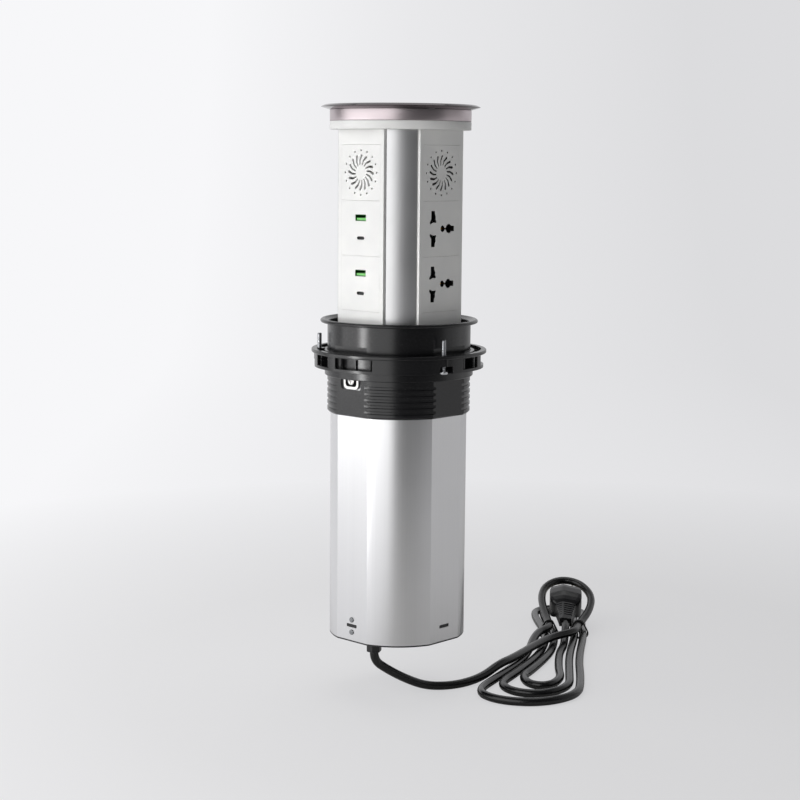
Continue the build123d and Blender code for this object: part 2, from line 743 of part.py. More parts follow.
# Base cap with a spigot inside the casing and four snap lugs
with BuildPart() as base_cap:
    extrude(flatted_round(CASING_R, CASING_FLAT, BASE_FOOT), amount=CASING_FOOT - BASE_FOOT - 0.02)
    chamfer(base_cap.edges().group_by(Axis.Z)[0], 0.4)
    extrude(
        flatted_round(CASING_R - CASING_WALL - 0.1, CASING_FLAT - CASING_WALL - 0.1, BASE_FOOT + 0.5),
        amount=17.5,
    )
    extrude(
        flatted_round(CASING_R - CASING_WALL - 2, CASING_FLAT - CASING_WALL - 2, CASING_FOOT),
        amount=40,
        mode=Mode.SUBTRACT,
    )
    for plane in (Plane.XZ, Plane.YZ):
        for way in (1, -1):
            with BuildSketch(plane.offset(way * (CASING_FLAT - CASING_WALL - 0.5))):
                with Locations((0, SLOT_Z)):
                    RectangleRounded(11.2, 2.5, 0.6)
            extrude(amount=way * 2.1)
    with BuildSketch(Plane.XZ.offset(CASING_FLAT - 5)):
        with Locations(*[(0, height) for height in RIVET_Z]):
            Circle(1.7)
    extrude(amount=3.5, mode=Mode.SUBTRACT)
    with BuildSketch(Plane.XY.offset(BASE_FOOT - 1)):
        with Locations(GLAND_XY):
            Circle(5.1)
    extrude(amount=4, mode=Mode.SUBTRACT)
save(base_cap.part, "base_cap")

# Cable gland: short block under the base with a threaded neck, held by a nut inside
with BuildPart() as cable_gland:
    with BuildSketch(Plane.XY.offset(GLAND_MOUTH)):
        with Locations(GLAND_XY):
            RegularPolygon(6.4, 6)
    extrude(amount=BASE_FOOT - GLAND_MOUTH - 0.05)
    fillet(cable_gland.edges().group_by(Axis.Z)[0], 1.2)
    with BuildSketch(Plane.XY.offset(BASE_FOOT - 0.2)):
        with Locations(GLAND_XY):
            Circle(5.0)
    extrude(amount=6)
save(cable_gland.part, "cable_gland")

with BuildPart() as gland_nut:
    with BuildSketch(Plane.XY.offset(CASING_FOOT + 0.05)):
        with Locations(GLAND_XY):
            RegularPolygon(6.9, 6)
            Circle(5.02, mode=Mode.SUBTRACT)
    extrude(amount=3)
save(gland_nut.part, "gland_nut")

# Drive: motor plate, gear motor with its shaft, coupling and lead screw
with BuildPart() as motor_plate:
    extrude(
        flatted_round(CASING_R - CASING_WALL - 0.1, CASING_FLAT - CASING_WALL - 0.1, MOTOR_PLATE[0]),
        amount=MOTOR_PLATE[1] - MOTOR_PLATE[0],
    )
    with Locations((0, 0, MOTOR_PLATE[0])):
        Cylinder(6, 10, mode=Mode.SUBTRACT)
    with Locations((-24, 24, MOTOR_PLATE[0])):
        Cylinder(2.65, 10, mode=Mode.SUBTRACT)
save(motor_plate.part, "motor_plate")

with BuildPart() as gear_motor:
    extrude(disc(MOTOR_R, MOTOR_FOOT), amount=20)
    extrude(disc(MOTOR_R - 0.8, MOTOR_FOOT + 20), amount=MOTOR_PLATE[0] - MOTOR_FOOT - 20 - 0.05)
    extrude(disc(5.5, MOTOR_PLATE[0] - 1), amount=2.4)
    extrude(disc(3.0, MOTOR_PLATE[0]), amount=8)
save(gear_motor.part, "gear_motor")

with BuildPart() as shaft_coupling:
    extrude(disc(7, COUPLING[0]), amount=COUPLING[1] - COUPLING[0])
    extrude(disc(3.06, COUPLING[0]), amount=5.5, mode=Mode.SUBTRACT)
    extrude(disc(LEAD_SCREW_R, COUPLING[0] + 6), amount=10, mode=Mode.SUBTRACT)
save(shaft_coupling.part, "shaft_coupling")

with BuildPart() as lead_screw:
    extrude(disc(LEAD_SCREW_R, COUPLING[0] + 6), amount=LEAD_SCREW_TOP - COUPLING[0] - 6)
    chamfer(lead_screw.edges().sort_by(Axis.Z)[-1], 0.8)
save(lead_screw.part, "lead_screw")

# Limit switches on the casing wall opposite the socket face
switch_parts = []
for top in (-26.5, -196.0):
    with BuildPart() as limit_switch:
        with Locations((-49.6, 0, top - 8)):
            Box(5.8, 12, 16)
    switch_parts.append(limit_switch.part)
save(Compound(children=switch_parts), "limit_switches")

# Control board beside the motor, with its components on the outer side
with BuildPart() as control_board:
    with Locations((0, 27, -243)):
        Box(62, 1.6, 40)
save(control_board.part, "control_board")

with BuildPart() as transformer:
    with Locations((-14, 35.9, -250)):
        Box(22, 16, 18)
with BuildPart() as capacitor:
    with Locations((8, 34.5, -246)):
        Cylinder(6, 22)
with BuildPart() as relay:
    with Locations((22, 33.9, -238)):
        Box(10, 12, 18)
save(
    Compound(children=[transformer.part, capacitor.part, relay.part]), "board_components"
)

# Terminal block for the mains lead
with BuildPart() as terminal_block:
    with Locations((24, -24, -256.8)):
        Box(26, 9, 14)
        with Locations((-8, 0, 2), (0, 0, 2), (8, 0, 2)):
            Cylinder(2.2, 12, mode=Mode.SUBTRACT)
save(terminal_block.part, "terminal_block")

# Supply lead from the motor plate up to the carrier plate. It folds as the column comes down.
with BuildPart() as supply_lead:
    with Locations((-24, 24, MOTOR_PLATE[0])):
        Cylinder(
            2.6,
            CARRIER_UNDER + 8 - MOTOR_PLATE[0],
            align=(Align.CENTER, Align.CENTER, Align.MIN),
        )
save(supply_lead.part, "supply_lead")


def on_floor(across, along, height):
    """A point given across and along the hank, from its waist, in the tower's own frame."""
    u = HANK_WAIST[0] + across
    v = HANK_WAIST[1] + along
    c, s = cos(radians(HANK_TURN)), sin(radians(HANK_TURN))
    return Vector(u * c - v * s, u * s + v * c, height)


# Hank route. The first turn starts on top of the two others at the right tie and its back lobe leans up over
# the plug's pins. The back lobes of the second and third turn lie flat under the plug. The front lobes lie
# flat too, each inside the one before.
TIE_SIDE = 13.9
TIE_OUT = (0.0, STRAND_STEP / 2, -STRAND_STEP / 2)
TIE_UP = (7.9, 0.0, 0.0)
# Centre across and along, half width, half length and slope of each turn's back lobe
BACK_LOBE = (
    (6.8, 53.0, 23.7, 31.0, 0.336),
    (2.2, 80.0, 23.7, 23.7, 0.0),
    (2.2, 80.0, 15.4, 15.4, 0.0),
)
LOBE_POINTS = 6
LOBE_FIRST = -35.0
LOBE_STEP = 44.0
# Front lobe points of the first turn, and how far each moves for the next turn
FRONT_LOBE = (
    ((-41.0, -78), (10.5, 5)),
    ((-69.0, -137), (15.0, 10)),
    ((-91.0, -181), (21.0, 22)),
    ((-74.0, -207), (15.0, 23)),
    ((-38.0, -213), (5.0, 24)),
    ((-5.0, -190), (-5.0, 24)),
    ((1.5, -146), (-8.2, 18)),
    ((6.2, -78), (-8.1, 8)),
)
HOP = ((-29.5, -26, 9.0), (-20.4, -30, 0.0), (-12.2, -32, 0.0))
TIE_RUN = 14.0
PLUG_START = (2.2, 10.0, -301.3)
PLUG_YAW = 5.0
PLUG_PITCH = 12.0


def hank_route():
    points = []
    for turn in range(HANK_TURNS):
        out, up = TIE_OUT[turn], TIE_UP[turn] + CORD_LIES
        if turn == 0:
            points.append(on_floor(11.2, -7, up + TIE_LIFT))
            points.append(on_floor(14.9, 6, up + TIE_LIFT))
        else:
            points.append(on_floor(TIE_SIDE + out, -6, up + TIE_LIFT))
            points.append(on_floor(TIE_SIDE + out, -6 + TIE_RUN, up + TIE_LIFT))
        centre_across, centre_along, half_width, half_length, slope = BACK_LOBE[turn]
        reach = 1 / cos(radians(LOBE_STEP / 2))
        for number in range(LOBE_POINTS):
            angle = radians(LOBE_FIRST + LOBE_STEP * number)
            across = centre_across + half_width * reach * cos(angle)
            along = centre_along + half_length * reach * sin(angle)
            points.append(on_floor(across, along, up + slope * (along - 8)))
        points.append(on_floor(-TIE_SIDE - out, -6 + TIE_RUN, up + TIE_LIFT))
        points.append(on_floor(-TIE_SIDE - out, -6, up + TIE_LIFT))
        hop_across, hop_along, hop_up = HOP[turn]
        points.append(on_floor(hop_across, hop_along, CORD_LIES + hop_up))
        for (across, along), (step_across, step_along) in FRONT_LOBE:
            points.append(on_floor(across + turn * step_across, along + turn * step_along, CORD_LIES))
    points.append(on_floor(-3.8, -38, CORD_LIES))
    points.append(on_floor(-1.2, -18, CORD_LIES + 0.3))
    points.append(on_floor(*PLUG_START) - plug_way * 14)
    points.append(on_floor(*PLUG_START))
    return points


flat_way = on_floor(sin(radians(PLUG_YAW)), cos(radians(PLUG_YAW)), 0) - on_floor(0, 0, 0)
plug_way = flat_way * cos(radians(PLUG_PITCH)) + Vector(0, 0, sin(radians(PLUG_PITCH)))


def biarc(start, start_way, end, end_way):
    """The two arcs that leave start along start_way and reach end along end_way."""
    gap = end - start
    both = start_way + end_way
    a = 2 * (1 - start_way.dot(end_way))
    b = gap.dot(both)
    if a < 1e-9:
        return [("line", start, end, start_way)]
    handle = (-b + sqrt(b * b + a * gap.dot(gap))) / a
    first = start + start_way * handle
    last = end - end_way * handle
    middle = (first + last) * 0.5
    middle_way = (last - first).normalized()
    return [("arc", start, middle, start_way), ("arc", middle, end, middle_way)]


hank = hank_route()
mids = [(a + b) * 0.5 for a, b in zip(hank, hank[1:])]
ways = [(b - a).normalized() for a, b in zip(hank, hank[1:])]
hank_pieces = [("line", hank[0], mids[0], ways[0])]
for i in range(len(mids) - 1):
    hank_pieces += biarc(mids[i], ways[i], mids[i + 1], ways[i + 1])
hank_pieces.append(("line", mids[-1], hank[-1], ways[-1]))

with BuildPart() as cord_hank:
    with BuildLine() as hank_line:
        for kind, start, end, way in hank_pieces:
            if kind == "line" or (end - start).normalized().cross(way).length < 1e-5:
                Line(start, end)
            else:
                TangentArc(start, end, tangent=way)
    with BuildSketch(Plane(origin=hank[0], z_dir=ways[0])):
        Circle(CORD_R)
    sweep(path=hank_line.wire())
save(cord_hank.part, "cord_hank")
hank_wire = hank_line.wire()
hank_length = hank_wire.length
hank_share = cord_hank.part.volume / (pi * CORD_R**2 * hank_length)
print("hank length", round(hank_length, 1), "volume share", hank_share)

# The hank's least gap to itself, measured on points along it, leaving out near neighbours
steps = int(hank_length / 4)
along_hank = [hank_wire.position_at(i / steps) for i in range(steps + 1)]
least = 1e9
least_at = (0, 0)
for i in range(len(along_hank)):
    for j in range(i + 8, len(along_hank)):
        apart = (along_hank[i] - along_hank[j]).length
        if apart < least:
            least, least_at = apart, (i, j)
where = [round(v, 1) for v in along_hank[least_at[0]]]
least_turns = [round(k / steps * HANK_TURNS, 2) for k in least_at]
print("hank least gap", round(least - CORD_D, 2), "at", where, "turns", least_turns)

# Mains lead from the gland down to the floor and over the strands of the front lobes to the right tie
cord_route = [
    Vector(*GLAND_XY, GLAND_MOUTH),
    Vector(*GLAND_XY, GLAND_MOUTH - 7.5),
    Vector(19.0, -31.6, -289.5),
    Vector(24.7, -15.9, -299.5),
    Vector(30.5, 2.7, -308.5),
    Vector(38.0, 20.9, CORD_LIES),
    Vector(44.2, 40.6, CORD_LIES),
    Vector(46.2, 61.7, CORD_LIES + 2.2),
    Vector(45.6, 83.0, CORD_LIES + 8.4),
    Vector(41.9, 106.0, CORD_LIES + 8.4),
    Vector(34.2, 134.2, CORD_LIES + 8.4),
    Vector(26.5, 162.0, CORD_LIES + 8.4),
    on_floor(-14.0, -36.0, CORD_LIES + 8.6),
    hank[0] - ways[0] * 16,
    hank[0],
]
radii = []
for before, corner, after in zip(cord_route, cord_route[1:], cord_route[2:]):
    first, second = corner - before, after - corner
    half_turn = radians(first.get_angle(second)) / 2
    radii.append(0.45 * min(first.length, second.length) / tan(half_turn))
print("cord radii", [round(r, 1) for r in radii])

with BuildPart() as mains_cord:
    with BuildLine() as cord_line:
        FilletPolyline(*cord_route, radius=radii)
    with BuildSketch(Plane(origin=cord_route[0], z_dir=cord_route[1] - cord_route[0])):
        Circle(CORD_R)
    sweep(path=cord_line.wire())
save(mains_cord.part, "mains_cord")
cord_length = cord_line.wire().length
share = mains_cord.part.volume / (pi * CORD_R**2 * cord_length)
print("cord length", round(cord_length, 1), "volume share", share)

# Ties round the two bundles of strands
tie_parts = []
for side in (1, -1):
    flat = Plane(
        origin=on_floor(side * (TIE_SIDE + 0.3), 3, CORD_LIES + TIE_LIFT),
        x_dir=on_floor(1, 0, 0) - on_floor(0, 0, 0),
        z_dir=on_floor(0, 0, 0) - on_floor(0, 1, 0),
    )
    half = STRAND_STEP / 2
    corners = ((-half, 0), (half, 0), (0, TIE_UP[0]))
    with BuildPart() as tie:
        with BuildSketch(flat):
            with BuildLine():
                Polyline(*corners, close=True)
            make_face()
            offset(amount=CORD_R + 1.6)
        extrude(amount=1.3, both=True)
        with BuildSketch(flat):
            with BuildLine():
                Polyline(*corners, close=True)
            make_face()
            offset(amount=CORD_R + 0.2)
        extrude(amount=2, both=True, mode=Mode.SUBTRACT)
    tie_parts.append(tie.part)
save(Compound(children=tie_parts), "hank_ties")

# Plug: moulded grip with ribs and a faceted body. It lies on the flat back lobes, tilted up.
GRIP_LENGTH = 28.0
SHOULDER = 8.0
BODY_LENGTH = 32.0
BODY_SIZE = (31.0, 22.5)
GRIP_END = (19.0, 16.5)
plug_plane = Plane(
    origin=on_floor(*PLUG_START),
    x_dir=plug_way.cross(Vector(0, 0, 1)),
    z_dir=plug_way,
)
with BuildPart() as plug_body:
    with BuildSketch(plug_plane):
        RectangleRounded(11.0, 11.0, 4)
    with BuildSketch(plug_plane.offset(GRIP_LENGTH)):
        RectangleRounded(*GRIP_END, 5)
    loft()
    for number in range(6):
        with BuildSketch(plug_plane.offset(6 + 4 * number)):
            grown = (12.6 + 1.1 * number, 12.4 + 0.85 * number)
            RectangleRounded(*grown, 4.4)
        extrude(amount=1.8)
    with BuildSketch(plug_plane.offset(GRIP_LENGTH)):
        RectangleRounded(*GRIP_END, 5)
    with BuildSketch(plug_plane.offset(GRIP_LENGTH + SHOULDER)):
        RectangleRounded(*BODY_SIZE, 5)
    loft()
    with BuildSketch(plug_plane.offset(GRIP_LENGTH + SHOULDER)):
        RectangleRounded(*BODY_SIZE, 5)
    extrude(amount=BODY_LENGTH - SHOULDER)
save(plug_body.part, "plug_body")

# Pins: two flat ones side by side and a round-cornered one below them. The plug's plane has its Y downwards.
PIN_LENGTH = 17.0
pin_parts = []
for across, down, wide, tall in ((-6.5, 0.2, 1.7, 6.4), (6.5, 0.2, 1.7, 6.4), (0.0, 7.2, 4.6, 4.6)):
    with BuildPart() as pin:
        with BuildSketch(plug_plane.offset(GRIP_LENGTH + BODY_LENGTH)):
            with Locations((across, down)):
                RectangleRounded(wide, tall, 0.5)
        extrude(amount=PIN_LENGTH)
    pin_parts.append(pin.part)
save(Compound(children=pin_parts), "plug_pins")
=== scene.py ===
from math import cos, pi, radians, sin

import bpy
from mathutils import Matrix, Vector


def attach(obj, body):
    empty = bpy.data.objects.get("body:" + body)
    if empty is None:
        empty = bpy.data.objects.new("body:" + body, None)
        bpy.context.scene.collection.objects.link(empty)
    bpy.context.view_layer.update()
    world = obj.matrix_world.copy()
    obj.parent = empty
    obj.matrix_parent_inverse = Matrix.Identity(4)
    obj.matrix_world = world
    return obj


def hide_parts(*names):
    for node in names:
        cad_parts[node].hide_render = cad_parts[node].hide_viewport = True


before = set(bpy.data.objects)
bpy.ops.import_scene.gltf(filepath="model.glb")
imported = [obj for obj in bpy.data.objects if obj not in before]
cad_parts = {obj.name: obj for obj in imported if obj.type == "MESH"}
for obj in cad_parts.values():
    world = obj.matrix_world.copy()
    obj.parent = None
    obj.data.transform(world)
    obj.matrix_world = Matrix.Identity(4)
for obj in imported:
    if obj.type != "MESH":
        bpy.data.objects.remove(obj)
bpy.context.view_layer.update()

# Camera: an 81 mm lens on 36 mm film, 1.5 m from the tower and a little above the worktop. It looks at the
# corner between the USB face and the socket face, 7.7 degrees down, and leans by less than half a degree.
CAMERA_LENS = 81
CAMERA_FILM = 36
CAMERA_SHIFT = 0.0019
CAMERA_TURN = radians(43.5)
CAMERA_PITCH = 7.7
CAMERA_ROLL = 0.455
CAMERA_AWAY = 1.504
CAMERA_HEIGHT = 0.137
lens = bpy.data.cameras.new("camera")
lens.lens = CAMERA_LENS
lens.sensor_width = CAMERA_FILM
lens.shift_x = CAMERA_SHIFT
lens.clip_end = 30
camera = bpy.data.objects.new("camera", lens)
bpy.context.scene.collection.objects.link(camera)
camera.matrix_world = (
    Matrix.Translation((CAMERA_AWAY * sin(CAMERA_TURN), -CAMERA_AWAY * cos(CAMERA_TURN), CAMERA_HEIGHT))
    @ Matrix.Rotation(CAMERA_TURN, 4, "Z")
    @ Matrix.Rotation(radians(90 - CAMERA_PITCH), 4, "X")
    @ Matrix.Rotation(radians(CAMERA_ROLL), 4, "Z")
)
bpy.context.scene.camera = camera
bpy.context.scene.view_settings.view_transform = "Standard"

# Mains lead: one length of round PVC cord from the gland, over the front lobes of its own hank, three turns of
# the hank, and into the plug. Extruded black PVC is half matt, with the faint ripple of the extruder every 6 mm
# and a fine skin. The curve's bevel is 1 and each point's radius holds the size, so that its bounds fit.
CORD_D = 0.0073
CORD_LIES = -311.35
GLAND = (15.5, -43.5)
GLAND_MOUTH = -272.8
WAIST = (158.5, 156.0)
STRAND_STEP = 8.0
TIE_START = -6.0
TIE_END = 8.0
TIE_LIFT = 1.8
TIE_SIDE = 13.9
TIE_OUT = (0.0, STRAND_STEP / 2, -STRAND_STEP / 2)
TIE_UP = (7.9, 0.0, 0.0)
FIRST_TIE = ((11.2, -7), (14.9, 6))
BACK_LOBE = (
    (6.8, 53.0, 23.7, 31.0, 0.336),
    (2.2, 80.0, 23.7, 23.7, 0.0),
    (2.2, 80.0, 15.4, 15.4, 0.0),
)
LOBE_POINTS = 6
LOBE_FIRST = -35.0
LOBE_STEP = 44.0
FRONT_LOBE = (
    ((-41.0, -78), (10.5, 5)),
    ((-69.0, -137), (15.0, 10)),
    ((-91.0, -181), (21.0, 22)),
    ((-74.0, -207), (15.0, 23)),
    ((-38.0, -213), (5.0, 24)),
    ((-5.0, -190), (-5.0, 24)),
    ((1.5, -146), (-8.2, 18)),
    ((6.2, -78), (-8.1, 8)),
)
HOP = ((-29.5, -26, 9.0), (-20.4, -30, 0.0), (-12.2, -32, 0.0))
PLUG_START = (2.2, 10.0, -301.3)
PLUG_YAW = 5.0
PLUG_PITCH = 12.0
RIPPLE_MM = 6
SKIN_MM = 0.8


def on_floor(across, along, height):
    """A point given across and along the hank from its waist, in the tower's frame, in mm."""
    u, v = WAIST[0] + across, WAIST[1] + along
    c, s = cos(CAMERA_TURN), sin(CAMERA_TURN)
    return Vector((u * c - v * s, u * s + v * c, height))


flat_way = on_floor(sin(radians(PLUG_YAW)), cos(radians(PLUG_YAW)), 0) - on_floor(0, 0, 0)
plug_way = flat_way * cos(radians(PLUG_PITCH)) + Vector((0, 0, sin(radians(PLUG_PITCH))))
reach = 1 / cos(radians(LOBE_STEP / 2))
hank = []
for turn in range(3):
    out, up = TIE_OUT[turn], TIE_UP[turn] + CORD_LIES
    side = TIE_SIDE + out
    for across, along in FIRST_TIE if turn == 0 else ((side, TIE_START), (side, TIE_END)):
        hank.append(on_floor(across, along, up + TIE_LIFT))
    centre_across, centre_along, half_width, half_length, slope = BACK_LOBE[turn]
    for number in range(LOBE_POINTS):
        angle = radians(LOBE_FIRST + LOBE_STEP * number)
        across = centre_across + half_width * reach * cos(angle)
        along = centre_along + half_length * reach * sin(angle)
        hank.append(on_floor(across, along, up + slope * (along - TIE_END)))
    hank.append(on_floor(-side, TIE_END, up + TIE_LIFT))
    hank.append(on_floor(-side, TIE_START, up + TIE_LIFT))
    hop_across, hop_along, hop_up = HOP[turn]
    hank.append(on_floor(hop_across, hop_along, CORD_LIES + hop_up))
    for (across, along), (step_across, step_along) in FRONT_LOBE:
        hank.append(on_floor(across + turn * step_across, along + turn * step_along, CORD_LIES))
hank.append(on_floor(-3.8, -38, CORD_LIES))
hank.append(on_floor(-1.2, -18, CORD_LIES + 0.3))
hank.append(on_floor(*PLUG_START) - plug_way * 14)
hank.append(on_floor(*PLUG_START))
lead = [
    Vector((*GLAND, GLAND_MOUTH)),
    Vector((*GLAND, GLAND_MOUTH - 7.5)),
    Vector((19.0, -31.6, -289.5)),
    Vector((24.7, -15.9, -299.5)),
    Vector((30.5, 2.7, -308.5)),
    Vector((38.0, 20.9, CORD_LIES)),
    Vector((44.2, 40.6, CORD_LIES)),
    Vector((46.2, 61.7, CORD_LIES + 2.2)),
    Vector((45.6, 83.0, CORD_LIES + 8.4)),
    Vector((41.9, 106.0, CORD_LIES + 8.4)),
    Vector((34.2, 134.2, CORD_LIES + 8.4)),
    Vector((26.5, 162.0, CORD_LIES + 8.4)),
    on_floor(-14.0, -36.0, CORD_LIES + 8.6),
    hank[0] - (hank[1] - hank[0]).normalized() * 16,
]
cord_points = [point / 1000 for point in lead + hank]
line = bpy.data.curves.new("mains_lead", "CURVE")
line.dimensions = "3D"
line.bevel_depth = 1
line.bevel_resolution = 5
line.resolution_u = 10
line.use_fill_caps = True
spline = line.splines.new("NURBS")
spline.points.add(len(cord_points) - 1)
for point, place in zip(spline.points, cord_points):
    point.co = (*place, 1)
    point.radius = CORD_D / 2
spline.order_u = 3
spline.use_endpoint_u = True
mains_lead = bpy.data.objects.new("mains_lead", line)
bpy.context.scene.collection.objects.link(mains_lead)
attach(mains_lead, "housing")
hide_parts("mains_cord", "cord_hank")


def linear(code):
    """An sRGB hex colour as linear red, green, blue and alpha."""
    parts = [int(code[i : i + 2], 16) / 255 for i in (1, 3, 5)]
    return [p / 12.92 if p <= 0.04045 else ((p + 0.055) / 1.055) ** 2.4 for p in parts] + [1.0]


def node(tree, kind, links=(), **settings):
    """Adds a node. Settings named i_NAME or i_NUMBER set an input; links are (input, socket) pairs."""
    new = tree.nodes.new(kind)
    for name, value in settings.items():
        if name.startswith("i_"):
            key = name[2:].replace("_", " ")
            new.inputs[int(key) if key.isdigit() else key].default_value = value
        else:
            setattr(new, name, value)
    for key, socket in links:
        tree.links.new(socket, new.inputs[key])
    return new


cord_pvc = bpy.data.materials.new("extruded black PVC")
cord_pvc.use_nodes = True
tree = cord_pvc.node_tree
shader = tree.nodes["Principled BSDF"]
shader.inputs["Roughness"].default_value = 0.26
where = [("Vector", node(tree, "ShaderNodeTexCoord").outputs["Object"])]
ripple = node(tree, "ShaderNodeTexNoise", where, i_Scale=1000 / RIPPLE_MM, i_Detail=2.0)
skin = node(tree, "ShaderNodeTexNoise", where, i_Scale=1000 / SKIN_MM, i_Detail=3.0)
shades = node(tree, "ShaderNodeValToRGB", [("Fac", ripple.outputs[0])])
shades.color_ramp.elements[0].color = linear("#060607")
shades.color_ramp.elements[1].color = linear("#0F0F11")
tree.links.new(shades.outputs[0], shader.inputs["Base Color"])
rise = node(tree, "ShaderNodeMath", [(0, ripple.outputs[0]), (1, skin.outputs[0])], operation="ADD")
relief = node(tree, "ShaderNodeBump", [("Height", rise.outputs[0])], i_Strength=0.12, i_Distance=0.0003)
tree.links.new(relief.outputs[0], shader.inputs["Normal"])
mains_lead.data.materials.append(cord_pvc)

# Studio: a sheet of pale paper that lies flat under the tower and curves up into a wall well behind it. It is
# bent from one flat sheet and ends in front of the tower, so the metal reflects a darker room on the camera's
# side.
FLOOR = -0.315
PAPER_WIDE = 10
PAPER_LONG = 3.1
PAPER_MIDDLE = 0.85
PAPER_BEND = 2.4
BEND_R = 1.2
WALL_TALL = 2.5
bpy.ops.object.select_all(action="DESELECT")
bpy.ops.mesh.primitive_plane_add(size=1, location=(0, PAPER_MIDDLE, FLOOR))
paper = bpy.context.object
paper.name = "paper_sweep"
bpy.ops.object.mode_set(mode="EDIT")
bpy.ops.mesh.select_all(action="SELECT")
bpy.ops.transform.resize(value=(PAPER_WIDE, PAPER_LONG, 1), center_override=(0, PAPER_MIDDLE, FLOOR))
bpy.ops.object.mode_set(mode="OBJECT")
for edge in paper.data.edges:
    edge.select = all(paper.data.vertices[i].co.y > 0 for i in edge.vertices)
for vertex in paper.data.vertices:
    vertex.select = vertex.co.y > 0
for face in paper.data.polygons:
    face.select = False
bpy.ops.object.mode_set(mode="EDIT")
bpy.ops.mesh.select_mode(type="EDGE")
bpy.ops.mesh.spin(steps=20, angle=-pi / 2, center=(0, PAPER_BEND, FLOOR + BEND_R), axis=(1, 0, 0))
bpy.ops.mesh.extrude_edges_move(TRANSFORM_OT_translate={"value": (0, 0, WALL_TALL)})
bpy.ops.mesh.select_all(action="SELECT")
bpy.ops.mesh.remove_doubles(threshold=0.0001)
bpy.ops.mesh.normals_make_consistent(inside=True)
bpy.ops.object.mode_set(mode="OBJECT")
paper.rotation_euler = (0, 0, CAMERA_TURN)
bpy.ops.object.transform_apply(location=True, rotation=True, scale=True)
bpy.ops.object.shade_smooth()

# Paper's look: near white, its glow painted brighter towards the lamp on the left. The floor near the tower keeps
# some of the lamps' light and soft shadows, and turns to a plain tone further off. Metal sees the wall and both
# sides glow bright, a painted light in its reflections.
LEFT_END, RIGHT_END, MIDDLE_TONE = -0.5, 0.75, 0.42
SHADOW_CENTRE = (0.03, 0.12, FLOOR)
SHADOW_IN, SHADOW_OUT, SHADOW_GLOW = 0.35, 0.95, 0.68
WALL_DARK, WALL_BRIGHT = FLOOR + 0.002, FLOOR + 0.25
LEFT_DARK, LEFT_BRIGHT = -0.03, -0.22
RIGHT_DARK, RIGHT_BRIGHT, RIGHT_SHARE = 0.1, 0.6, 0.58
paper_stock = bpy.data.materials.new("studio paper")
paper_stock.use_nodes = True
tree = paper_stock.node_tree
tree.nodes.clear()
where = node(tree, "ShaderNodeTexCoord").outputs["Object"]
turned_back = node(tree, "ShaderNodeMapping", [("Vector", where)], i_Rotation=(0, 0, -CAMERA_TURN))
split = node(tree, "ShaderNodeSeparateXYZ", [(0, turned_back.outputs[0])])
sideways = [("Value", split.outputs["X"])]
across = node(tree, "ShaderNodeMapRange", sideways, i_1=LEFT_END, i_2=RIGHT_END, i_3=0.0, i_4=1.0)
# painted light: the glow is brighter towards the lamp on the left
tones = node(tree, "ShaderNodeValToRGB", [("Fac", across.outputs[0])])
tones.color_ramp.elements[0].color = linear("#F7F7F9")
tones.color_ramp.elements[1].color = linear("#DCDCDE")
middle = tones.color_ramp.elements.new(MIDDLE_TONE)
middle.color = linear("#E9E9EB")
matt = node(tree, "ShaderNodeBsdfDiffuse", i_Color=linear("#F0EFEE"))
glow = node(tree, "ShaderNodeEmission", [("Color", tones.outputs[0])], i_Strength=1.0)
seen = node(tree, "ShaderNodeLightPath")
away = node(tree, "ShaderNodeVectorMath", [(0, where)], operation="DISTANCE", i_1=SHADOW_CENTRE)
plain_far = node(tree, "ShaderNodeMapRange", [("Value", away.outputs["Value"])],
                 i_1=SHADOW_IN, i_2=SHADOW_OUT, i_3=SHADOW_GLOW, i_4=1.0)
for_camera = node(tree, "ShaderNodeMath", [(0, plain_far.outputs[0]), (1, seen.outputs["Is Camera Ray"])],
                  operation="MULTIPLY")
height = node(tree, "ShaderNodeMapRange", [("Value", split.outputs["Z"])],
              i_1=WALL_DARK, i_2=WALL_BRIGHT, i_3=0.0, i_4=1.0)
# painted light: the floor's two sides glow for metal's reflections, in place of lamps
on_left = node(tree, "ShaderNodeMapRange", sideways, i_1=LEFT_DARK, i_2=LEFT_BRIGHT, i_3=0.0, i_4=1.0)
on_right = node(tree, "ShaderNodeMapRange", sideways, i_1=RIGHT_DARK, i_2=RIGHT_BRIGHT, i_3=0.0, i_4=RIGHT_SHARE)
aside = node(tree, "ShaderNodeMath", [(0, on_left.outputs[0]), (1, on_right.outputs[0])], operation="MAXIMUM")
painted_light_share = node(tree, "ShaderNodeMath", [(0, height.outputs[0]), (1, aside.outputs[0])], operation="MAXIMUM")
for_metal = node(tree, "ShaderNodeMath", [(0, painted_light_share.outputs[0]), (1, seen.outputs["Is Glossy Ray"])],
                 operation="MULTIPLY")
share = node(tree, "ShaderNodeMath", [(0, for_camera.outputs[0]), (1, for_metal.outputs[0])], operation="MAXIMUM")
mixed = node(tree, "ShaderNodeMixShader", [(0, share.outputs[0]), (1, matt.outputs[0]), (2, glow.outputs[0])])
node(tree, "ShaderNodeOutputMaterial", [("Surface", mixed.outputs[0])])
paper.data.materials.append(paper_stock)


# Lamps: a large softbox on the left with a low, gridded strip light beside it, a weak softbox on the right and a
# dim one overhead. The room round them is a dim grey, which only the camera sees as a pale wall.
def softbox(name, turn, away, height, size, power, aim, spread=180):
    """An area lamp at a compass turn round the tower, aimed at a height on its axis. Metres, watts, degrees."""
    lamp = bpy.data.lights.new(name, "AREA")
    lamp.shape = "RECTANGLE"
    lamp.size, lamp.size_y = size
    lamp.energy = power
    lamp.spread = radians(spread)
    holder = bpy.data.objects.new(name, lamp)
    bpy.context.scene.collection.objects.link(holder)
    angle = CAMERA_TURN + radians(turn)
    holder.location = (away * sin(angle), -away * cos(angle), height)
    holder.rotation_euler = (Vector((0, 0, aim)) - holder.location).to_track_quat("-Z", "Y").to_euler()


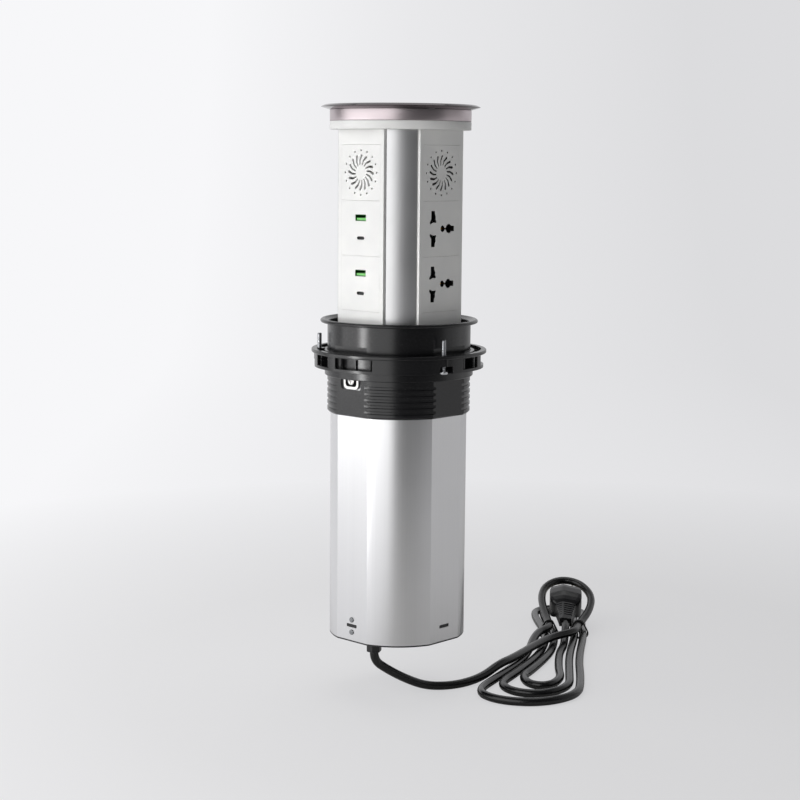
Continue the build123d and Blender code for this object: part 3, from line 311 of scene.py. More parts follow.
softbox("softbox_left", turn=-55, away=1.3, height=0.18, size=(2.9, 1.9), power=28, aim=-0.03)
softbox("striplight_left", turn=-59, away=1.2, height=-0.17, size=(0.75, 0.26), power=0.1, aim=-0.03, spread=14)
softbox("softbox_right", turn=98, away=1.5, height=0.3, size=(1.3, 1.8), power=2.0, aim=-0.05)
softbox("softbox_top", turn=180, away=0.6, height=1.6, size=(1.6, 1.2), power=8, aim=0)
world = bpy.data.worlds.new("studio")
bpy.context.scene.world = world
world.use_nodes = True
tree = world.node_tree
tree.nodes.clear()
room = node(tree, "ShaderNodeBackground", i_Color=linear("#B9BABC"), i_Strength=0.2)
wall = node(tree, "ShaderNodeBackground", i_Color=linear("#E6E6E8"), i_Strength=1.0)
seen = node(tree, "ShaderNodeLightPath")
mixed = node(tree, "ShaderNodeMixShader",
             [(0, seen.outputs["Is Camera Ray"]), (1, room.outputs[0]), (2, wall.outputs[0])])
node(tree, "ShaderNodeOutputWorld", [("Surface", mixed.outputs[0])])

# Outer casing: an extruded aluminium tube, round with four flats, satin blasted and clear anodised. It is one
# flatted outline given its 2 mm wall and pulled up, then punched for the base cap's lugs and the rivets.
CASING_R = 57.3
CASING_FLAT = 54.6
CASING_WALL = 2.0
CASING_TOP = -17.1
CASING_FOOT = -264.0
CASING_SMOOTH = 9
LUG_SLOT = (11.5, 2.8)
LUG_SLOT_Z = -251.5
LUG_CORNER = 0.0007
RIVET_Z = (-246.5, -257.0)
RIVET_HOLE_R = 1.6


def flatted_face(name, radius, flat, height, sides=128):
    """A flat round face at a height, with four straight sides square to X and Y. Sizes are in mm."""
    bpy.ops.object.select_all(action="DESELECT")
    bpy.ops.mesh.primitive_circle_add(
        vertices=sides, radius=radius / 1000, fill_type="NGON", location=(0, 0, height / 1000)
    )
    piece = bpy.context.object
    piece.name = piece.data.name = name
    bpy.ops.object.mode_set(mode="EDIT")
    for side in ((1, 0, 0), (-1, 0, 0), (0, 1, 0), (0, -1, 0)):
        bpy.ops.mesh.select_all(action="SELECT")
        bpy.ops.mesh.bisect(plane_co=[way * flat / 1000 for way in side], plane_no=side, clear_outer=True)
    bpy.ops.mesh.select_all(action="SELECT")
    return piece


def finish_mesh(piece, smooth_angle):
    """Closes the edit: normals outwards, place and turn in the mesh, smooth below an angle in degrees."""
    bpy.ops.mesh.select_all(action="SELECT")
    bpy.ops.mesh.remove_doubles(threshold=0.000001)
    bpy.ops.mesh.normals_make_consistent(inside=False)
    bpy.ops.object.mode_set(mode="OBJECT")
    bpy.ops.object.transform_apply(location=True, rotation=True, scale=True)
    bpy.ops.object.shade_smooth_by_angle(angle=radians(smooth_angle))


def pick(piece):
    """Selects one object alone and makes it the active one."""
    bpy.ops.object.select_all(action="DESELECT")
    bpy.context.view_layer.objects.active = piece
    piece.select_set(True)


def punch(piece, cutter):
    """Cuts one mesh out of another and removes the cutter."""
    cut = piece.modifiers.new("cut", "BOOLEAN")
    cut.object = cutter
    cut.operation = "DIFFERENCE"
    cut.solver = "EXACT"
    pick(piece)
    bpy.ops.object.modifier_apply(modifier="cut")
    bpy.data.objects.remove(cutter)


casing_tube = flatted_face("casing_tube", CASING_R, CASING_FLAT, CASING_FOOT)
bpy.ops.mesh.inset(thickness=CASING_WALL / 1000)
bpy.ops.mesh.delete(type="FACE")
bpy.ops.mesh.select_all(action="SELECT")
bpy.ops.mesh.extrude_region_move(TRANSFORM_OT_translate={"value": (0, 0, (CASING_TOP - CASING_FOOT) / 1000)})
finish_mesh(casing_tube, CASING_SMOOTH)
for turn in (0, 90):
    bpy.ops.object.select_all(action="DESELECT")
    bpy.ops.mesh.primitive_cube_add(size=1, location=(0, 0, LUG_SLOT_Z / 1000), rotation=(0, 0, radians(turn)))
    cutter = bpy.context.object
    cutter.scale = (LUG_SLOT[0] / 1000, 0.14, LUG_SLOT[1] / 1000)
    bpy.ops.object.transform_apply(location=False, rotation=False, scale=True)
    for edge in cutter.data.edges:
        ends = [cutter.data.vertices[i].co for i in edge.vertices]
        edge.select = abs(ends[0].y - ends[1].y) > 0.1
    bpy.ops.object.mode_set(mode="EDIT")
    bpy.ops.mesh.select_mode(type="EDGE")
    bpy.ops.mesh.bevel(offset=LUG_CORNER, segments=4, affect="EDGES")
    bpy.ops.object.mode_set(mode="OBJECT")
    punch(casing_tube, cutter)
for rivet_height in RIVET_Z:
    bpy.ops.object.select_all(action="DESELECT")
    bpy.ops.mesh.primitive_cylinder_add(
        vertices=24, radius=RIVET_HOLE_R / 1000, depth=0.01,
        location=(0, -CASING_FLAT / 1000, rivet_height / 1000), rotation=(pi / 2, 0, 0)
    )
    punch(casing_tube, bpy.context.object)
bpy.ops.object.shade_smooth_by_angle(angle=radians(CASING_SMOOTH))
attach(casing_tube, "housing")
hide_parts("outer_casing")

# Satin anodised aluminium: the blasting leaves a 0.5 mm grain, the extrusion faint lines along the tube, and
# the handling slight changes of sheen 40 mm apart. The grain is drawn twice as coarse as it is, so it shows.
ALONG_AXIS = (1.0, 1.0, 0.004)
HANDLING_MM = 40


def metal(name, code, rough, grain_mm, line_mm, lines, bump, stretch=(1.0, 1.0, 1.0), edge_mm=0.2):
    """A metal surface with a fine grain, lines stretched along one way, patches of sheen and softened edges."""
    stock = bpy.data.materials.new(name)
    stock.use_nodes = True
    tree = stock.node_tree
    shader = tree.nodes["Principled BSDF"]
    shader.inputs["Metallic"].default_value = 1.0
    where = [("Vector", node(tree, "ShaderNodeTexCoord").outputs["Object"])]
    grain = node(tree, "ShaderNodeTexNoise", where, i_Scale=1000 / grain_mm, i_Detail=4.0)
    drawn = node(tree, "ShaderNodeMapping", where, i_Scale=stretch)
    along = [("Vector", drawn.outputs[0])]
    streaks = node(tree, "ShaderNodeTexNoise", along, i_Scale=1000 / line_mm, i_Detail=3.0)
    patches = node(tree, "ShaderNodeTexNoise", where, i_Scale=1000 / HANDLING_MM, i_Detail=2.0)
    sheen = node(tree, "ShaderNodeMapRange", [("Value", patches.outputs[0])],
                 i_1=0.3, i_2=0.7, i_3=rough * 0.95, i_4=rough * 1.05)
    tree.links.new(sheen.outputs[0], shader.inputs["Roughness"])
    tint = node(tree, "ShaderNodeValToRGB", [("Fac", streaks.outputs[0])])
    pale = linear(code)
    tint.color_ramp.elements[0].color = [part * 0.94 for part in pale[:3]] + [1.0]
    tint.color_ramp.elements[1].color = pale
    tree.links.new(tint.outputs[0], shader.inputs["Base Color"])
    depth = node(tree, "ShaderNodeMath", [(0, streaks.outputs[0])], operation="MULTIPLY", i_1=lines)
    height = node(tree, "ShaderNodeMath", [(0, grain.outputs[0]), (1, depth.outputs[0])], operation="ADD")
    edge = node(tree, "ShaderNodeBevel", i_Radius=edge_mm / 1000)
    relief = node(tree, "ShaderNodeBump", [("Height", height.outputs[0]), ("Normal", edge.outputs[0])],
                  i_Strength=bump, i_Distance=0.0001)
    tree.links.new(relief.outputs[0], shader.inputs["Normal"])
    return stock


def dress(stock, *names):
    """Gives a material to modelled nodes that keep their own shape."""
    for name in names:
        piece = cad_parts[name]
        piece.data.materials.clear()
        piece.data.materials.append(stock)


casing_stock = metal("satin anodised aluminium tube", "#DEDEDF", rough=0.31, grain_mm=1.0, line_mm=1.6, lines=0.7,
                     bump=0.10, stretch=ALONG_AXIS)
casing_tube.data.materials.append(casing_stock)
rivet_steel = metal("dull zinc plated rivet steel", "#8F9193", rough=0.4, grain_mm=0.6, line_mm=0.5, lines=0.5,
                    bump=0.08)
dress(rivet_steel, "casing_rivets")

# Base cap, lug faces and cable gland: black nylon mouldings under the tube. Moulded nylon is half matt with a
# spark-eroded grain of about 0.4 mm, which is drawn twice as coarse, so it shows.
DRIFT_MM = 25


def moulded(name, dark, light, rough, grain_mm, bump, edge_mm=0.3):
    """A moulded plastic with an even texture, slow colour drift and rounded edges."""
    stock = bpy.data.materials.new(name)
    stock.use_nodes = True
    tree = stock.node_tree
    shader = tree.nodes["Principled BSDF"]
    where = [("Vector", node(tree, "ShaderNodeTexCoord").outputs["Object"])]
    grain = node(tree, "ShaderNodeTexNoise", where, i_Scale=1000 / grain_mm, i_Detail=4.0)
    drift = node(tree, "ShaderNodeTexNoise", where, i_Scale=1000 / DRIFT_MM, i_Detail=2.0)
    tint = node(tree, "ShaderNodeValToRGB", [("Fac", drift.outputs[0])])
    tint.color_ramp.elements[0].position = 0.3
    tint.color_ramp.elements[0].color = linear(dark)
    tint.color_ramp.elements[1].position = 0.7
    tint.color_ramp.elements[1].color = linear(light)
    tree.links.new(tint.outputs[0], shader.inputs["Base Color"])
    gloss = node(tree, "ShaderNodeMapRange", [("Value", grain.outputs[0])],
                 i_1=0.3, i_2=0.7, i_3=rough - 0.03, i_4=rough + 0.03)
    tree.links.new(gloss.outputs[0], shader.inputs["Roughness"])
    edge = node(tree, "ShaderNodeBevel", i_Radius=edge_mm / 1000)
    relief = node(tree, "ShaderNodeBump", [("Height", grain.outputs[0]), ("Normal", edge.outputs[0])],
                  i_Strength=bump, i_Distance=0.0001)
    tree.links.new(relief.outputs[0], shader.inputs["Normal"])
    return stock


black_nylon = moulded("moulded black nylon", "#1D1D1F", "#232325", rough=0.42, grain_mm=0.8, bump=0.25)
dress(black_nylon, "base_cap", "gland_nut")
gland_nylon = moulded("smooth black nylon", "#141416", "#1A1A1C", rough=0.33, grain_mm=1.5, bump=0.12)
dress(gland_nylon, "cable_gland")

# Collar flange: the rounded rim of the black nylon collar that lies on the worktop. Its section is drawn out
# from a circle and carried round to itself, with a small radius on each edge.
FLANGE_SECTION = (
    (60.0, 0.0), (60.0, 0.4), (58.92, 0.4), (59.05, 0.75), (60.2, 1.35), (61.8, 2.05), (62.3, 2.4), (62.9, 2.78),
    (63.5, 2.98), (64.2, 2.96), (64.8, 2.78), (65.3, 2.48), (65.68, 2.05), (65.92, 1.6), (65.95, 1.2),
    (65.85, 0.6), (65.6, 0.15), (65.3, 0.0),
)


def turned(name, section, sides=128, smooth_angle=40):
    """A ring round the tower's axis, drawn out from a circle along a closed section of radii and heights."""
    bpy.ops.object.select_all(action="DESELECT")
    bpy.ops.mesh.primitive_circle_add(
        vertices=sides, radius=section[0][0] / 1000, location=(0, 0, section[0][1] / 1000)
    )
    piece = bpy.context.object
    piece.name = piece.data.name = name
    bpy.ops.object.mode_set(mode="EDIT")
    bpy.ops.mesh.select_all(action="SELECT")
    for (radius_a, height_a), (radius_b, height_b) in zip(section, section[1:] + section[:1]):
        bpy.ops.mesh.extrude_edges_move(TRANSFORM_OT_translate={"value": (0, 0, (height_b - height_a) / 1000)})
        grow = radius_b / radius_a
        bpy.ops.transform.resize(value=(grow, grow, 1), center_override=(0, 0, 0))
    finish_mesh(piece, smooth_angle)
    return piece


collar_rim = turned("collar_rim", FLANGE_SECTION)
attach(collar_rim, "housing")
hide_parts("collar_flange")
collar_nylon = moulded("half matt black nylon", "#0E0E10", "#131315", rough=0.25, grain_mm=0.7, bump=0.10,
                       edge_mm=0.35)
collar_rim.data.materials.append(collar_nylon)

# Collar barrel, clamp flange and ring nut: injection moulded in the flange's nylon, so they share its material.
# The guide ring at the mouth of the casing and the column's carrier plate are of a softer, duller black acetal.
dress(collar_nylon, "collar", "clamp_flange", "ring_nut")
guide_acetal = moulded("black acetal", "#161617", "#1C1C1D", rough=0.5, grain_mm=1.2, bump=0.3)
dress(guide_acetal, "guide_ring", "carrier_plate")

# Keeper clip: pressed stainless steel, tumbled until it is bright. Its rim keeps fine rolling lines, and its
# floor, which lies deeper than the rim, is painted dark as shade.
KEEPER_FLOOR = 55.6
STAINLESS = {"code": "#C4C3C1", "rough": 0.16, "grain_mm": 0.8, "line_mm": 0.5, "lines": 0.5, "bump": 0.03,
             "stretch": (1.0, 1.0, 0.08)}


def paint_shade_inside(stock, axis, depth, code, beyond=-1.0):
    """Paints shade into a material: dark where a face lies between two distances in mm from the tower's axis
    along X or Y.
    """
    tree = stock.node_tree
    shader = tree.nodes["Principled BSDF"]
    where = node(tree, "ShaderNodeTexCoord")
    parts = node(tree, "ShaderNodeSeparateXYZ", [(0, where.outputs["Object"])])
    out = node(tree, "ShaderNodeMath", [(0, parts.outputs[axis])], operation="ABSOLUTE")
    near = node(tree, "ShaderNodeMath", [(0, out.outputs[0])], operation="LESS_THAN", i_1=depth / 1000)
    far = node(tree, "ShaderNodeMath", [(0, out.outputs[0])], operation="GREATER_THAN", i_1=beyond / 1000)
    inside = node(tree, "ShaderNodeMath", [(0, near.outputs[0]), (1, far.outputs[0])], operation="MULTIPLY")
    old = shader.inputs["Base Color"].links[0].from_socket
    mixed = node(tree, "ShaderNodeMix", [(0, inside.outputs[0]), (6, old)], data_type="RGBA")
    mixed.inputs[7].default_value = linear(code)
    tree.links.new(mixed.outputs[2], shader.inputs["Base Color"])


keeper_steel = metal("tumbled stainless steel", **STAINLESS)
dress(keeper_steel, "keeper_screw")
keeper_rim = metal("stainless steel with painted shade on its floor", **STAINLESS)
# painted shade: the floor deeper than the rim is made dark
paint_shade_inside(keeper_rim, "Y", KEEPER_FLOOR, "#141415")
dress(keeper_rim, "collar_keeper")

# Clamp screws: zinc plated M4 pan heads with rolled threads of 0.7 mm pitch. One is drawn out ring by ring from
# its head to its tip, its cross recess is punched, and the other two are copies turned round the tower.
SCREW_RING_R = 66.6
SCREW_FIRST_ANGLE = -13.5
SCREW_HEAD = ((2.2, -37.98), (2.9, -37.75), (3.35, -37.3), (3.6, -36.7), (3.6, -35.45), (1.98, -35.4))
SCREW_TIP = ((1.95, -10.3), (1.4, -9.55))
SCREW_SIDES = 16
THREAD_FOOT = -35.0
THREAD_STEP = 0.7
THREADS = 35
THREAD_TURN = ((1.98, 0.0), (1.98, 0.18), (1.68, 0.5), (1.68, 0.68))
RECESS = (0.0044, 0.0009, 0.0034)
RECESS_Z = -0.0381


def drawn_up(name, section, sides, smooth_angle=30):
    """A solid bar on the tower's axis, closed at both ends, drawn up along radii and heights in mm."""
    bpy.ops.object.select_all(action="DESELECT")
    bpy.ops.mesh.primitive_circle_add(
        vertices=sides, radius=section[0][0] / 1000, fill_type="NGON", location=(0, 0, section[0][1] / 1000)
    )
    piece = bpy.context.object
    piece.name = piece.data.name = name
    bpy.ops.object.mode_set(mode="EDIT")
    bpy.ops.mesh.select_all(action="SELECT")
    for (radius_a, height_a), (radius_b, height_b) in zip(section, section[1:]):
        bpy.ops.mesh.extrude_region_move(TRANSFORM_OT_translate={"value": (0, 0, (height_b - height_a) / 1000)})
        grow = radius_b / radius_a
        bpy.ops.transform.resize(value=(grow, grow, 1), center_override=(0, 0, 0))
    finish_mesh(piece, smooth_angle)
    return piece


thread = [(radius, THREAD_FOOT + THREAD_STEP * (number + share)) for number in range(THREADS)
          for radius, share in THREAD_TURN]
screw = drawn_up("clamp_screw_a", SCREW_HEAD + tuple(thread) + SCREW_TIP, SCREW_SIDES)
for turn in (0, 90):
    bpy.ops.object.select_all(action="DESELECT")
    bpy.ops.mesh.primitive_cube_add(size=1, location=(0, 0, RECESS_Z), rotation=(0, 0, radians(turn)))
    cutter = bpy.context.object
    cutter.scale = RECESS
    bpy.ops.object.transform_apply(location=False, rotation=False, scale=True)
    punch(screw, cutter)
bpy.ops.object.transform_apply(location=True, rotation=True, scale=True)
zinc_plate = metal("zinc plated screw steel", "#C6C7CA", rough=0.24, grain_mm=0.5, line_mm=0.3, lines=0.4,
                   bump=0.05)
screw.data.materials.append(zinc_plate)
first = radians(SCREW_FIRST_ANGLE)
screw.location = (SCREW_RING_R * cos(first) / 1000, SCREW_RING_R * sin(first) / 1000, 0)
pick(screw)
bpy.ops.object.transform_apply(location=True, rotation=True, scale=True)
screws = [screw]
for letter in "bc":
    pick(screws[-1])
    bpy.ops.object.duplicate(linked=False)
    copy = bpy.context.object
    copy.name = copy.data.name = "clamp_screw_" + letter
    copy.rotation_euler = (0, 0, radians(120))
    pick(copy)
    bpy.ops.object.transform_apply(location=True, rotation=True, scale=True)
    screws.append(copy)
for number, copy in enumerate(screws, 1):
    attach(copy, f"clamp_screw_{number}")
    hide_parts(f"clamp_screw_{number}")

# Column profiles and top plate: the four corners are aluminium extrusions and the plate that joins them is
# milled from a bar of it. Both are clear anodised, finer in grain than the casing, with lines along the column.
profile_stock = metal("anodised aluminium profile", "#D8D8D9", rough=0.37, grain_mm=0.8, line_mm=1.2, lines=0.6,
                      bump=0.06, stretch=ALONG_AXIS)
dress(profile_stock, "corner_profile_1", "corner_profile_2", "corner_profile_3", "corner_profile_4", "top_plate")

# Column faces: white ABS mouldings. The frames and the modules clipped into them are half gloss with a fine even
# grain of 0.35 mm, and their edges are rounded, so they pick up a little light.
WHITE_ABS = {"dark": "#EDEDEC", "light": "#F3F3F1", "rough": 0.36, "grain_mm": 0.35, "bump": 0.08,
             "edge_mm": 0.35}
white_abs = moulded("moulded white ABS", **WHITE_ABS)
dress(white_abs, "usb_face_frame", "socket_face_frame", "blank_panel_rear", "blank_panel_left",
      "usb_module_upper", "usb_module_lower")

# Socket modules: the same white ABS, painted dark as shade more than 0.6 mm behind the face, so their openings
# look dark inside.
# The speaker grilles are white too, and the slot walls of the one on the socket side are painted dark as shade.
# The contact carriers behind the sockets are moulded from plain ABS that nobody polished.
OPENING_SHADE_X = 45.8
socket_abs = moulded("white ABS with painted shade in its openings", **WHITE_ABS)
# painted shade on the faces more than 0.6 mm behind the socket face
paint_shade_inside(socket_abs, "X", OPENING_SHADE_X, "#161617")
dress(socket_abs, "socket_module_upper", "socket_module_lower")
GRILLE_BACK_X = 40.0
grille_abs = moulded("white ABS with painted shade in its slots", **WHITE_ABS)
# painted shade on the slot walls of the grille on the socket side only
paint_shade_inside(grille_abs, "X", OPENING_SHADE_X, "#1B1918", GRILLE_BACK_X)
dress(grille_abs, "speaker_grilles")
carrier_abs = moulded("unpolished white ABS", "#E4E3E0", "#EAEAE7", rough=0.5, grain_mm=0.6, bump=0.2)
dress(carrier_abs, "contact_carriers")

# Speakers behind the grilles: a basket stamped from sheet steel and zinc plated, and a cone pressed from grey
# paper with long fibres, which stays rough and matt. Both are half seen through the slots.
basket_steel = metal("zinc plated basket steel", "#B4B6BA", rough=0.33, grain_mm=1.0, line_mm=0.6, lines=0.5,
                     bump=0.05)
dress(basket_steel, "speaker_units")
cone_paper = moulded("pressed grey paper", "#8C8A86", "#9A9893", rough=0.85, grain_mm=1.6, bump=0.8)
dress(cone_paper, "speaker_cones")

# USB ports: folded steel shells, zinc plated with a green passivation. The tongues of the type A ports are
# moulded from bright green PBT, and the type C ports from a black liquid crystal polymer.
port_shell = metal("green passivated shell", "#3F6F42", rough=0.3, grain_mm=0.5, line_mm=0.4, lines=0.5,
                   bump=0.03, edge_mm=0.1)
dress(port_shell, "usb_a_shells")
green_pbt = moulded("moulded green PBT", "#6FCB62", "#83DA76", rough=0.3, grain_mm=0.4, bump=0.1, edge_mm=0.1)
dress(green_pbt, "usb_a_tongues")
port_black = moulded("moulded black LCP", "#2A2A2B", "#333334", rough=0.4, grain_mm=0.4, bump=0.15, edge_mm=0.1)
dress(port_black, "usb_c_ports")

# Sockets: near black shutters moulded from nylon behind the openings, and contacts stamped from brass sheet
# behind them. The lead screw's nut is brass as well.
shutter_nylon = moulded("black shutter nylon", "#151516", "#1B1B1C", rough=0.45, grain_mm=0.5, bump=0.15,
                        edge_mm=0.15)
dress(shutter_nylon, "socket_shutter_upper", "socket_shutter_lower")
contact_brass = metal("stamped brass", "#D9B76C", rough=0.25, grain_mm=0.6, line_mm=0.5, lines=0.5, bump=0.04)
dress(contact_brass, "socket_contacts", "lead_nut")

# White and silver bands under the lid. The white one is a moulded cup, the silver one a turned ring with a
# lacquer that has a faint rose tint.
WHITE_CUP = (
    (12.0, 158.8), (57.9, 158.8), (58.3, 158.95), (58.5, 159.3), (58.5, 165.35), (58.35, 165.65), (58.0, 165.8),
    (56.0, 165.8), (56.0, 161.4), (55.6, 161.2), (12.0, 161.2),
)
SILVER_RING = (
    (56.0, 165.9), (58.1, 165.9), (58.4, 166.05), (58.5, 166.4), (58.5, 174.7), (58.4, 175.05), (58.1, 175.2),
    (56.0, 175.2),
)
ROUND_AXIS = (0.01, 0.01, 1.0)
white_cup = turned("white_cup", WHITE_CUP)
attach(white_cup, "column")
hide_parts("white_band")
white_cup.data.materials.append(white_abs)
silver_ring = turned("silver_ring", SILVER_RING)
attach(silver_ring, "column")
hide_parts("silver_band")
rose_lacquer = metal("rose lacquered steel", "#C6BBBE", rough=0.36, grain_mm=0.5, line_mm=0.9, lines=0.6,
                     bump=0.04, stretch=ROUND_AXIS)
silver_ring.data.materials.append(rose_lacquer)

# Lid bezel: a ring turned from steel, polished and plated with black nickel. It is thin and rounded at its rim
# and has a shelf inside for the glass.
BEZEL_SECTION = (
    (57.0, 175.3), (59.4, 175.3), (59.9, 175.43), (62.6, 176.27), (65.2, 177.0), (65.7, 177.2), (65.94, 177.4),
    (65.9, 177.6), (65.5, 177.82), (64.6, 178.35), (63.6, 178.85), (62.6, 179.2), (61.6, 179.38), (60.6, 179.4),
    (60.26, 179.3), (60.25, 176.5), (57.0, 176.5),
)
BEZEL_SIDES = 160
lid_bezel = turned("lid_bezel", BEZEL_SECTION, BEZEL_SIDES)
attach(lid_bezel, "column")
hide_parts("lid_ring")
black_nickel = metal("black nickel plated steel", "#4E484A", rough=0.09, grain_mm=1.5, line_mm=1.0, lines=0.3,
                     bump=0.015, stretch=ROUND_AXIS)
lid_bezel.data.materials.append(black_nickel)

# Lid panel: a disc of toughened black glass, ground and polished at its edge. A thin grey ring is printed under
# it where the lid is touched, and wiping leaves a faint haze in patches 20 mm apart.
TOUCH_RING_R = 0.011
TOUCH_RING_W = 0.0007
RING_BLUR = 0.0001
HAZE_MM = 20
lid_glass = bpy.data.materials.new("printed black glass")
lid_glass.use_nodes = True
tree = lid_glass.node_tree
shader = tree.nodes["Principled BSDF"]
shader.inputs["Coat Weight"].default_value = 0.6
shader.inputs["Coat Roughness"].default_value = 0.02
where = node(tree, "ShaderNodeTexCoord").outputs["Object"]
parts = node(tree, "ShaderNodeSeparateXYZ", [(0, where)])
flat_place = node(tree, "ShaderNodeCombineXYZ", [("X", parts.outputs["X"]), ("Y", parts.outputs["Y"])])
from_axis = node(tree, "ShaderNodeVectorMath", [(0, flat_place.outputs[0])], operation="LENGTH")
off_ring = node(tree, "ShaderNodeMath", [(0, from_axis.outputs["Value"])], operation="SUBTRACT", i_1=TOUCH_RING_R)
off_ring = node(tree, "ShaderNodeMath", [(0, off_ring.outputs[0])], operation="ABSOLUTE")
print_share = node(tree, "ShaderNodeMapRange", [("Value", off_ring.outputs[0])],
                   i_1=TOUCH_RING_W / 2, i_2=TOUCH_RING_W / 2 + RING_BLUR, i_3=1.0, i_4=0.0)
haze = node(tree, "ShaderNodeTexNoise", [("Vector", where)], i_Scale=1000 / HAZE_MM, i_Detail=3.0)
glass_tint = node(tree, "ShaderNodeValToRGB", [("Fac", haze.outputs[0])])
glass_tint.color_ramp.elements[0].color = linear("#08080A")
glass_tint.color_ramp.elements[1].color = linear("#0E0E11")
printed = node(tree, "ShaderNodeMix", [(0, print_share.outputs[0]), (6, glass_tint.outputs[0])], data_type="RGBA")
printed.inputs[7].default_value = linear("#8C8F94")
tree.links.new(printed.outputs[2], shader.inputs["Base Color"])
wiped = node(tree, "ShaderNodeMapRange", [("Value", haze.outputs[0])], i_1=0.3, i_2=0.7, i_3=0.06, i_4=0.12)
tree.links.new(wiped.outputs[0], shader.inputs["Roughness"])
glass_edge = node(tree, "ShaderNodeBevel", i_Radius=0.0003)
tree.links.new(glass_edge.outputs[0], shader.inputs["Normal"])
dress(lid_glass, "lid_panel")

# Drive inside the casing: a rolled lead screw and its coupling, both of steel with marks from turning, and a
# motor in a deep drawn steel can on a plate of the same zinc plated sheet.
turned_steel = metal("turned steel", "#C9CACC", rough=0.22, grain_mm=0.6, line_mm=0.5, lines=0.9, bump=0.08,
                     stretch=(0.02, 0.02, 1.0))
dress(turned_steel, "lead_screw", "shaft_coupling")
can_steel = metal("zinc plated can steel", "#BFC1C5", rough=0.3, grain_mm=1.5, line_mm=0.8, lines=0.5, bump=0.05)
dress(can_steel, "gear_motor", "motor_plate")

# Electrics: boards of glass cloth under a green solder mask, whose weave of 0.8 mm shows a little, parts in
# black moulded housings, and a lead and ties of black PVC.
board_mask = moulded("solder masked glass cloth", "#1B5434", "#24693F", rough=0.32, grain_mm=0.8, bump=0.25,
                     edge_mm=0.1)
dress(board_mask, "touch_board", "usb_board", "control_board")
part_resin = moulded("black moulded resin", "#1A1A1B", "#242425", rough=0.5, grain_mm=0.5, bump=0.2, edge_mm=0.2)
dress(part_resin, "board_components", "limit_switches", "terminal_block")
lead_pvc = moulded("black PVC sheath", "#121213", "#1A1A1B", rough=0.4, grain_mm=3.0, bump=0.3, edge_mm=0.2)
dress(lead_pvc, "supply_lead", "hank_ties")

# Plug: overmoulded half gloss PVC. A small square end is drawn out by sections (place along, width, height and
# lift) to the body, the top is pulled into a ridge left of its middle, and grooves for the fingers are punched
# on both sides of the ridge.
PLUG_SECTIONS = (
    (0.0, 11.0, 11.0, 0.0), (6.0, 12.2, 12.2, 0.0), (12.0, 13.8, 13.2, 0.0), (20.0, 16.2, 14.8, 0.0),
    (28.0, 19.0, 16.5, 0.0), (31.0, 25.5, 20.5, 0.3), (35.0, 29.5, 23.8, 1.0), (41.0, 31.0, 25.5, 1.6),
    (50.0, 31.0, 25.8, 1.7), (56.0, 28.5, 24.8, 1.4), (59.0, 23.0, 21.5, 0.6), (60.0, 19.0, 18.0, 0.0),
)
RIDGE_AT = -2.6
SIDE_DROP = 0.26
EDGE_CREASE = 0.62
GROOVES = 6
GROOVE_FIRST = 7.0
GROOVE_STEP = 3.7
GROOVE_WIDE = 1.7
GROOVE_DEEP = 1.4
GROOVE_TILTS = ((-1, 18), (1, 13))
plug_up = -plug_way.cross(plug_way.cross(Vector((0, 0, 1)))).normalized()
plug_across = plug_way.cross(plug_up)
bpy.ops.object.select_all(action="DESELECT")
bpy.ops.mesh.primitive_plane_add(size=1, rotation=(pi / 2, 0, 0))
plug_shell = bpy.context.object
plug_shell.name = plug_shell.data.name = "plug_shell"
bpy.ops.object.transform_apply(location=True, rotation=True, scale=True)
bpy.ops.object.mode_set(mode="EDIT")
bpy.ops.mesh.select_all(action="SELECT")
end_size = (PLUG_SECTIONS[0][1] / 1000, 1, PLUG_SECTIONS[0][2] / 1000)
bpy.ops.transform.resize(value=end_size, center_override=(0, 0, 0))
for (along_a, wide_a, tall_a, lift_a), (along_b, wide_b, tall_b, lift_b) in zip(PLUG_SECTIONS, PLUG_SECTIONS[1:]):
    onward = (0, (along_b - along_a) / 1000, (lift_b - lift_a) / 1000)
    bpy.ops.mesh.extrude_region_move(TRANSFORM_OT_translate={"value": onward})
    bpy.ops.transform.resize(value=(wide_b / wide_a, 1, tall_b / tall_a), center_override=(0, 0, lift_b / 1000))
bpy.ops.mesh.select_all(action="SELECT")
bpy.ops.mesh.normals_make_consistent(inside=False)
bpy.ops.mesh.bisect(plane_co=(RIDGE_AT / 1000, 0, 0), plane_no=(1, 0, 0))
bpy.ops.object.mode_set(mode="OBJECT")
for part in list(plug_shell.data.polygons) + list(plug_shell.data.edges):
    part.select = False
for vertex in plug_shell.data.vertices:
    vertex.select = vertex.co.z > 0 and abs(vertex.co.x - RIDGE_AT / 1000) > 0.001
bpy.ops.object.mode_set(mode="EDIT")
bpy.ops.mesh.select_mode(type="VERT")
bpy.ops.transform.resize(value=(1, 1, 1 - SIDE_DROP), center_override=(0, 0, 0))
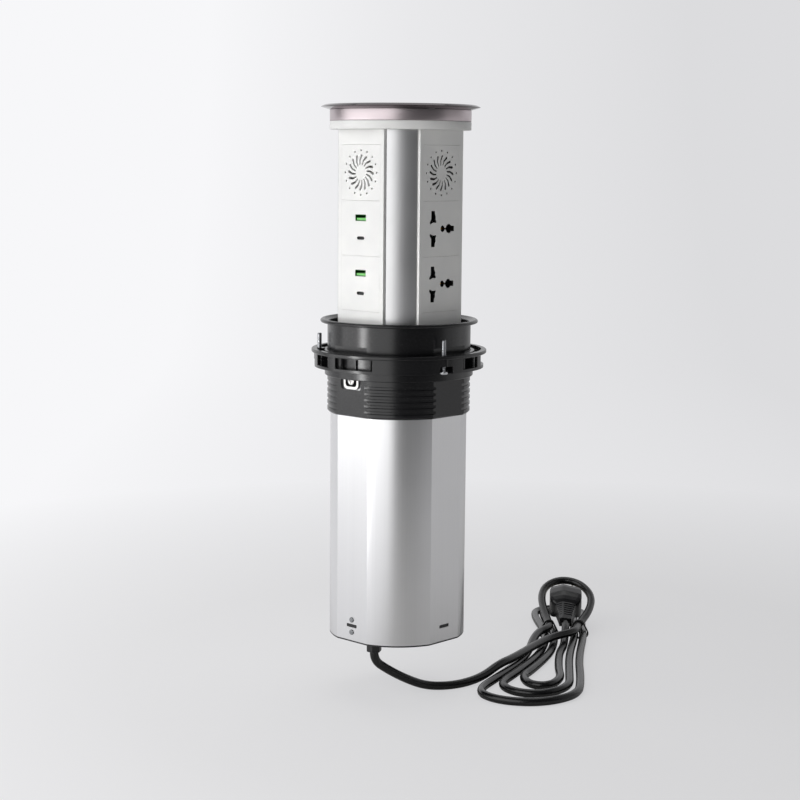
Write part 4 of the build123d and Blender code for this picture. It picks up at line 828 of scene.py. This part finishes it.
bpy.ops.object.mode_set(mode="OBJECT")
for edge in plug_shell.data.edges:
    ends = [plug_shell.data.vertices[i].co for i in edge.vertices]
    on_bottom = ends[0].z < 0 and abs(ends[0].x - RIDGE_AT / 1000) < 0.001
    edge.select = abs(ends[0].y - ends[1].y) > 0.001 and not on_bottom
bpy.ops.object.mode_set(mode="EDIT")
bpy.ops.mesh.select_mode(type="EDGE")
bpy.ops.transform.edge_crease(value=EDGE_CREASE)
bpy.ops.object.mode_set(mode="OBJECT")
rounded = plug_shell.modifiers.new("rounded", "SUBSURF")
rounded.levels = rounded.render_levels = 3
bpy.ops.object.modifier_apply(modifier="rounded")
for groove in range(GROOVES):
    along = GROOVE_FIRST + GROOVE_STEP * groove
    top = 6.0 + 0.10 * along
    for side, tilt in GROOVE_TILTS:
        bpy.ops.object.select_all(action="DESELECT")
        bpy.ops.mesh.primitive_cube_add(size=1, rotation=(0, radians(side * tilt), 0))
        cutter = bpy.context.object
        cutter.scale = (0.012, GROOVE_WIDE / 1000, 0.004)
        cutter.location = (
            (RIDGE_AT + side * (1.5 + 6 * cos(radians(tilt)))) / 1000, along / 1000,
            (top - GROOVE_DEEP + 2 - 6 * sin(radians(tilt))) / 1000,
        )
        bpy.ops.object.transform_apply(location=True, rotation=True, scale=True)
        punch(plug_shell, cutter)
bpy.ops.object.shade_smooth_by_angle(angle=radians(35))
plug_shell.matrix_world = Matrix.Translation(cord_points[-1]) @ Matrix(
    (plug_across, plug_way, plug_up)
).transposed().to_4x4()
bpy.ops.object.transform_apply(location=True, rotation=True, scale=True)
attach(plug_shell, "housing")
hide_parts("plug_body")
plug_pvc = moulded("half gloss black PVC", "#0F0F11", "#17171A", rough=0.3, grain_mm=0.9, bump=0.15, edge_mm=0.35)
plug_shell.data.materials.append(plug_pvc)
pin_nickel = metal("nickel plated brass pin", "#CDC8BC", rough=0.18, grain_mm=0.6, line_mm=0.5, lines=0.5,
                   bump=0.03)
dress(pin_nickel, "plug_pins")

bpy.context.view_layer.update()
